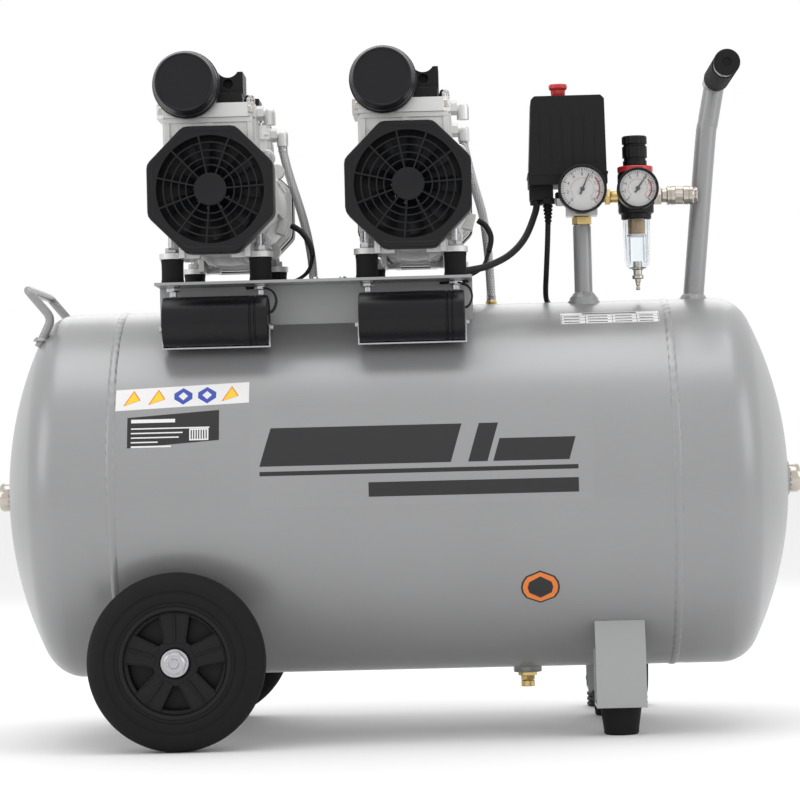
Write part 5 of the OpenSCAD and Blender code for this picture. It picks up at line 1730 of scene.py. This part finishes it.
@dataclass
class Gauge:
    """Dial gauge: case, dial with its scale, needle and glass."""

    name: str
    x: float
    z: float
    radius: float
    top_number: int
    face_y: float = -75.0
    sweep: float = 270.0

    @property
    def dial_y(self) -> float:
        """Gives the dial's height."""
        return self.face_y + 5.2

    def ring_part(self, radius: float, length: float, width: float, label: str) -> Form:
        """Gives one tick, drawn at angle 0."""
        return Form(label).prism(strip(radius - length, radius, width / 2), 0.08, ORIGIN, Axis.FRONT)

    def number(self, text: str, angle: float, radius: float, size: float) -> bpy.types.Mesh:
        """Makes one number of the scale.

        Args:
            text: The number.
            angle: Its angle from straight up, clockwise, in degrees.
            radius: Its distance from the needle's axis, in millimetres.
            size: Its height, in millimetres.

        Returns:
            Its mesh, in place.
        """
        curve = bpy.data.curves.new("number", "FONT")
        curve.body = text
        curve.size = size * MM
        curve.align_x = "CENTER"
        curve.align_y = "CENTER"
        curve.extrude = 0.00004
        curve.resolution_u = 3
        writing = bpy.data.objects.new("number", curve)
        bpy.context.scene.collection.objects.link(writing)
        made = bpy.data.meshes.new_from_object(writing.evaluated_get(bpy.context.evaluated_depsgraph_get()))
        a = math.radians(angle)
        place = Vector((self.x + radius * math.sin(a), self.dial_y - 0.06, self.z + radius * math.cos(a))) * MM
        made.transform(Matrix.Translation(place) @ Matrix.Rotation(math.pi / 2, 4, "X"))
        bpy.data.objects.remove(writing)
        made.materials.clear()
        made.materials.append(Finishes.INK_BLACK.material())
        return made

    def build(self) -> None:
        """Builds the gauge."""
        base, r = (self.x, self.face_y, self.z), self.radius
        case = Form(self.name + "_gauge_case")
        case.lathe([(1.4, -22), (r - 1.2, -22), (r, -20.8), (r, -3), (r + 0.3, -2), (r + 0.3, 0.7), (r - 0.3, 1.5),
            (r - 1.6, 1.5), (r - 2.5, 0.4), (r - 2.5, -6.0), (1.4, -6.0)], base, Axis.FRONT, 96, loop=True)
        case.paint(1).lathe([(1.4, -5.4), (r - 2.4, -5.4), (r - 2.4, -5.2), (1.4, -5.2)], base, Axis.FRONT, 72,
            loop=True)
        case.done("base", Finishes.GRILLE, Finishes.DIAL, **stands_for(self.name == "tank", "gauge_cases", "dial"))
        centre = (self.x, self.dial_y, self.z)
        edge, low = r - 3.6, 90.0 + self.sweep / 2
        marks = (("tick", edge, 3.4, 0.8, 9, Finishes.INK_BLACK), ("small_tick", edge, 2.2, 0.4, 41, Finishes.INK_BLACK),
                 ("inner_tick", r * 0.50, 1.6, 0.4, 33, Finishes.INK_RED))
        meshes = []
        for label, reach, length, width, count, ink in marks:
            tick = self.ring_part(reach, length, width, label)
            meshes.append(Repeat.polar(tick, count, centre, ink, Axis.FRONT, low, -self.sweep))
        band = Form("red_band")
        steps, start, stop = 24, 48.0, 128.0
        angles = [math.radians(start + (stop - start) * k / steps) for k in range(steps + 1)]
        outer, inner = ([(reach * math.sin(a), reach * math.cos(a)) for a in angles]
            for reach in (edge - 2.9, edge - 4.7))
        for k in range(steps):
            band.prism([outer[k], outer[k + 1], inner[k + 1], inner[k]], 0.08, ORIGIN, Axis.FRONT)
        meshes.append(Repeat.at(band, [centre], Finishes.INK_RED, 0.0))
        for k in range(9):
            part = k / 8
            meshes.append(self.number(str(round(self.top_number * part)), self.sweep * (part - 0.5), r * 0.62, r * 0.2))
        repeated_piece(self.name + "_gauge_scale", "base", meshes)


@dataclass
class AirLine:
    """Riser, manifold, pressure switch, gauges, filter-regulator, coupler and hoses."""

    x: float = 208.7
    y: float = -25.0
    port_z: float = 579.0
    regulator_x: float = 268.5

    def riser(self) -> None:
        """Builds the painted riser and its weld."""
        form = Form("riser_tube").lathe([(0, 458), (9.9, 458), (9.9, 546.5), (9.2, 549), (0, 549)], (self.x, self.y, 0),
            Axis.Z, 48)
        form.lathe([(0, 468), (15.2, 468), (13.4, 471.0), (10.6, 474.6), (9.8, 475.4), (0, 475.4)], (self.x, self.y, 0),
            Axis.Z, 48, wobble=ripple(0.5, 11, (2, 3)))
        form.done("base", Finishes.SILVER, replaces=("riser_pipe",))

    def manifold(self) -> None:
        """Builds the cross block, its nipples, the blank plug and the safety valve."""
        form = Form("manifold_block").paint(1)
        form.block((self.x - 17, self.y - 13, 558.5), (self.x + 17, self.y + 13, 592))
        form.paint(0).hexagon(18.6, 9, (self.x, self.y, 549.4))
        form.cylinder(7.4, 540, 551, (self.x, self.y, 0), Axis.Z, 24)
        form.lathe([(0, 12), (7.0, 12), (7.0, 18), (6.2, 19), (6.5, 20), (5.9, 21), (6.5, 22), (5.9, 23), (6.5, 24),
            (5.9, 25), (6.5, 26), (6.5, 42), (0, 42)], (self.x, self.y, self.port_z), Axis.X, 32)
        form.hexagon(16.6, 6, (self.x + 26, self.y, self.port_z), Axis.X)
        form.cylinder(6, 0, 20, (self.x, self.y - 12, 584.5), Axis.FRONT, 24)
        form.lathe([(0, 0), (6.2, 0), (6.2, 22), (5.2, 23), (0, 23)], (self.x, self.y + 27, self.port_z), Axis.Y, 32)
        form.hexagon(14, 12, (self.x, self.y + 20, self.port_z), Axis.Y)
        form.cylinder(6, 0, 10, (self.x, self.y + 12, self.port_z), Axis.Y, 24)
        form.paint(2).hexagon(15, 11.5, (self.x - 17, self.y, self.port_z - 1), Axis.LEFT)
        form.done("base", Finishes.BRASS, Finishes.ALLOY, Finishes.ZINC, bevel=0.5, replaces=("manifold",))
        refine_node("safety_ring", Finishes.ZINC, 0.0)

    def switch(self) -> None:
        """Builds the pressure switch: base, cover, glands, screws and pull knob."""
        refine_node("switch_base", Finishes.SWITCH, 1.2)
        refine_node("switch_cover", Finishes.SWITCH, 2.0)
        form = Form("switch_trim")
        form.block((150.2, -52.6, 602.4), (237.8, 10.6, 605.2))
        form.block((153, -51.6, 605), (235, -50.6, 612))
        for k in range(6):
            form.block((164 + k * 12.0, -51.45, 616), (165.4 + k * 12.0, -50.9, 668))
        form.lathe([(5.6, 685), (11.5, 685), (11.5, 689.6), (10.4, 690.4), (8.2, 690.4), (8.2, 687), (5.6, 687)],
            (186.3, -26, 0), Axis.Z, 40, loop=True)
        for x in (160.5, 171.5):
            form.hexagon(13.5 if x < 165 else 14.5, 7, (x, -25 + (6 if x < 165 else -6), 572.5))
        form.done("base", Finishes.SWITCH, bevel=0.4, slot="black_plastic")
        knob = Form("pull_knob").lathe([(0, 618), (5.1, 618), (5.1, 640), (7.2, 640), (7.2, 691), (7.75, 692),
            (8.1, 697), (9.6, 698.6), (10.2, 699.6), (10.2, 702.6), (9.6, 703.8), (8.6, 704), (7.4, 703.0), (0, 702.6)],
            (186.3, -26, 0), Axis.Z, 56)
        knob.done("knob", Finishes.RED, replaces=("switch_knob",), crease=26)

    def regulator(self) -> None:
        """Builds the filter-regulator: body, red ring, knob, bowl, element and drain."""
        place = (self.regulator_x, self.y, 0)
        body = Form("regulator_housing")
        body.lathe([(0, 553.4), (15.6, 553.4), (16.5, 554.2), (16.5, 558.5), (17.4, 559.6), (18.6, 560), (19.3, 561),
            (19.5, 563), (19.5, 601.4), (19.1, 603.4), (18.4, 604.8), (0, 604.8)], place, Axis.Z, 72)
        body.cylinder(6.4, 0, 30, (self.regulator_x, self.y - 2, 583.5), Axis.FRONT, 32)
        body.hexagon(15, 7, (self.regulator_x, self.y - 20, 583.5), Axis.FRONT)
        for axis in (Axis.LEFT, Axis.X):
            body.lathe([(0, 14), (10.5, 14), (10.5, 18.6), (9.6, 19.6), (0, 19.6)],
                (self.regulator_x, self.y, self.port_z), axis, 36)
        body.paint(1).lathe([(10.2, 604.9), (18.9, 604.9), (19.5, 605.5), (19.5, 610.6), (18.9, 611.4), (10.2, 611.4)],
            place, Axis.Z, 72, loop=True)
        body.done("base", Finishes.GRILLE, Finishes.RED, bevel=0.3, replaces=("regulator_body",), crease=30)
        knob = Form("regulator_grip")
        knob.lathe([(0, 593), (6, 593), (6, 612.2), (12.6, 612.2), (13.1, 613), (13.1, 617.5), (12.0, 618),
            (12.0, 620.5), (13.4, 621), (13.5, 633), (12.2, 634), (12.2, 635.6), (13.6, 636.2), (13.6, 643.4),
            (12.8, 644.7), (0, 644.9)], place, Axis.Z, 144, wobble=lambda a,
            n: 0.22 * math.copysign(abs(math.sin(18 * a)) ** 0.5, math.sin(18 * a)) if 7 < n < 10 or 11 < n < 14
            else 0.0)
        knob.done("regulator", Finishes.COVER, replaces=("regulator_knob",), crease=30)
        bowl = Form("water_bowl")
        shell = [(13.3, 556.8), (13.3, 553.2), (14.4, 552.6), (14.85, 551), (14.7, 530), (14.4, 514), (13.6, 508),
            (11.6, 502.6), (8.4, 499.2), (5.4, 498.0), (5.4, 500.6), (7.8, 501.4), (10.4, 505), (11.6, 510),
            (11.85, 530), (11.85, 556.8)]
        bowl.lathe(shell, place, Axis.Z, 64, loop=True)
        for k in range(4):
            a = math.radians(45 + 90 * k)
            bowl.prism([(-0.7, -0.5), (0.7, -0.5), (0.7, 0.9), (-0.7, 0.9)], 30, (self.regulator_x + 11.4 * math.cos(a),
                self.y + 11.4 * math.sin(a), 506), Axis.Z, math.degrees(a) - 90)
        bowl.done("base", Finishes.CLEAR, replaces=("filter_bowl",))
        inside = Form("bronze_element")
        inside.lathe([(0, 537.2), (8.6, 537.2), (9.4, 538), (9.4, 555.4), (9.0, 556), (0, 556)], place, Axis.Z, 48)
        inside.paint(1).lathe([(0, 534.4), (9.9, 534.4), (10.4, 535), (10.4, 536.4), (9.6, 537.2), (0, 537.2)], place,
            Axis.Z, 48)
        inside.done("base", Finishes.BRONZE, Finishes.DIAL, replaces=("filter_element",))
        drain = Form("bowl_drain_pin")
        drain.lathe([(0, 476), (1.8, 476), (2.3, 476.8), (2.3, 479), (1.7, 479.6), (1.7, 480.6), (2.4, 481.4),
            (2.4, 484), (3.0, 485), (3.2, 488), (5.6, 488), (6.4, 488.8), (6.4, 491.8), (5.8, 492.6), (4.9, 492.8),
            (4.9, 507.6), (0, 508)], place, Axis.Z, 40)
        drain.done("bowl_valve", Finishes.NICKEL, replaces=("bowl_drain",))

    def coupler(self) -> None:
        """Builds the quick coupler and its knurled sleeve."""
        axis_place = (0, self.y, self.port_z)
        body = Form("coupler_core").lathe([(0, 287.8), (6.5, 287.8), (6.5, 297), (7.9, 297.2), (7.9, 333), (8.8, 333.3),
            (8.8, 335.5), (8.2, 336), (5.7, 336), (5.7, 310.5), (0, 310)], axis_place, Axis.X, 48)
        body.hexagon(19, 9, (288, self.y, self.port_z), Axis.X)
        body.done("base", Finishes.NICKEL, bevel=0.3, replaces=("coupler_body",))
        outline = [(8.0, 302), (9.8, 302), (10.7, 302.8), (10.7, 305), (10.1, 305.4), (10.1, 306.4), (10.7, 306.8),
            (10.7, 311.2), (9.9, 312), (9.9, 319.6), (10.7, 320.4), (10.7, 325.4), (10.1, 325.8), (10.1, 326.8),
            (10.7, 327.2), (10.7, 330.2), (9.8, 331.5), (8.0, 331.5)]
        sleeve = Form("coupler_grip").lathe(outline, axis_place, Axis.X, 120, loop=True, wobble=lambda a,
            n: -0.14 * (1 + math.sin(40 * a)) if n in (8, 9) else 0.0)
        sleeve.done("sleeve", Finishes.NICKEL, replaces=("coupler_sleeve",))

    def hoses(self) -> None:
        """Builds the braided delivery hoses with crimped ends."""
        routes = (((-126, 106, 659), (-125, 106, 650), (-119, 106, 625), (-104, 106, 573), (-96, 106, 530),
            (-94, 106, 486), (-94, 106, 476)), ((81.5, 106, 659), (82.5, 106, 650), (91, 106, 612), (101, 106, 573),
            (106, 106, 530), (108, 106, 486), (108, 106, 476)))
        braid = Form("hose_braids")
        ends = Form("hose_ends")
        for route in routes:
            line = smooth_route(route, 10)
            braid.pipe(line, 4.95, 24)
            for piece in (line[:9], line[-9:]):
                ends.pipe(piece, lambda t: 5.6 - 0.35 * (1 if int(t * 8) % 2 else 0), 24)
        braid.done("base", Finishes.BRAID, replaces=("discharge_hoses",), crease=60)
        ends.done("base", Finishes.ZINC, slot="zinc")

    def build(self) -> None:
        """Builds the air line."""
        self.riser()
        self.manifold()
        self.switch()
        Gauge("tank", self.x, 584.5, 26.0, 16).build()
        Gauge("outlet", self.regulator_x, 583.5, 22.2, 16).build()
        dress_node("gauge_lenses", Finishes.LENS)
        dress_node("tank_needle", Finishes.INK_BLACK)
        dress_node("outlet_needle", Finishes.INK_BLACK)
        self.regulator()
        self.coupler()
        self.hoses()


@dataclass
class Wiring:
    """Link cable to the motors, and the motor leads that fork into two wires."""

    link: tuple = ((160, -25, 577), (158, -26, 564), (146, -38, 536), (128, -58, 516), (104, -82, 503), (84, -96, 498),
        (75, -98, 494), (74, -98, 488))
    left: tuple = ((-112, 12, 560), (-102, 8, 553), (-93, 2, 540), (-89, -4, 524), (-95, -10, 506), (-112, -15, 496),
        (-136, -20, 494))
    right: tuple = ((95.5, 12, 560), (104, 8, 553), (109, 2, 540), (106, -4, 524), (98, -10, 506), (80, -15, 496),
        (56, -20, 494))

    def build(self) -> None:
        """Builds the cables."""
        form = Form("motor_cables")
        form.pipe(smooth_route(self.link, 8), 3.75, 16)
        for route in (self.left, self.right):
            line = smooth_route(route, 8)
            cut = int(len(line) * 0.52)
            form.pipe(line[:cut], lambda t: 3.4 - 0.5 * t, 14)
            for side in (-1, 1):
                wire = [p + Vector((0.9 * side, 1.6 * side * min(1.0, k / 10), 0)) for k,
                    p in enumerate(line[cut - 3:])]
                form.pipe(wire, 1.35, 10)
        form.done("base", Finishes.SLEEVING, replaces=("cables",), crease=60)


def main() -> None:
    """Builds the whole compressor."""
    logging.basicConfig(level=logging.INFO, format="%(message)s")
    Studio().build()
    MainsLead().cord()
    Tank().build()
    for end in End:
        Wheel(end).build()
    Feet().build()
    Handles().build()
    Platform().build()
    for side in Side:
        Pump(side).build()
    dress_pump_castings()
    AirLine().build()
    Wiring().build()
    bpy.context.view_layer.update()


if __name__ == "__main__":
    main()
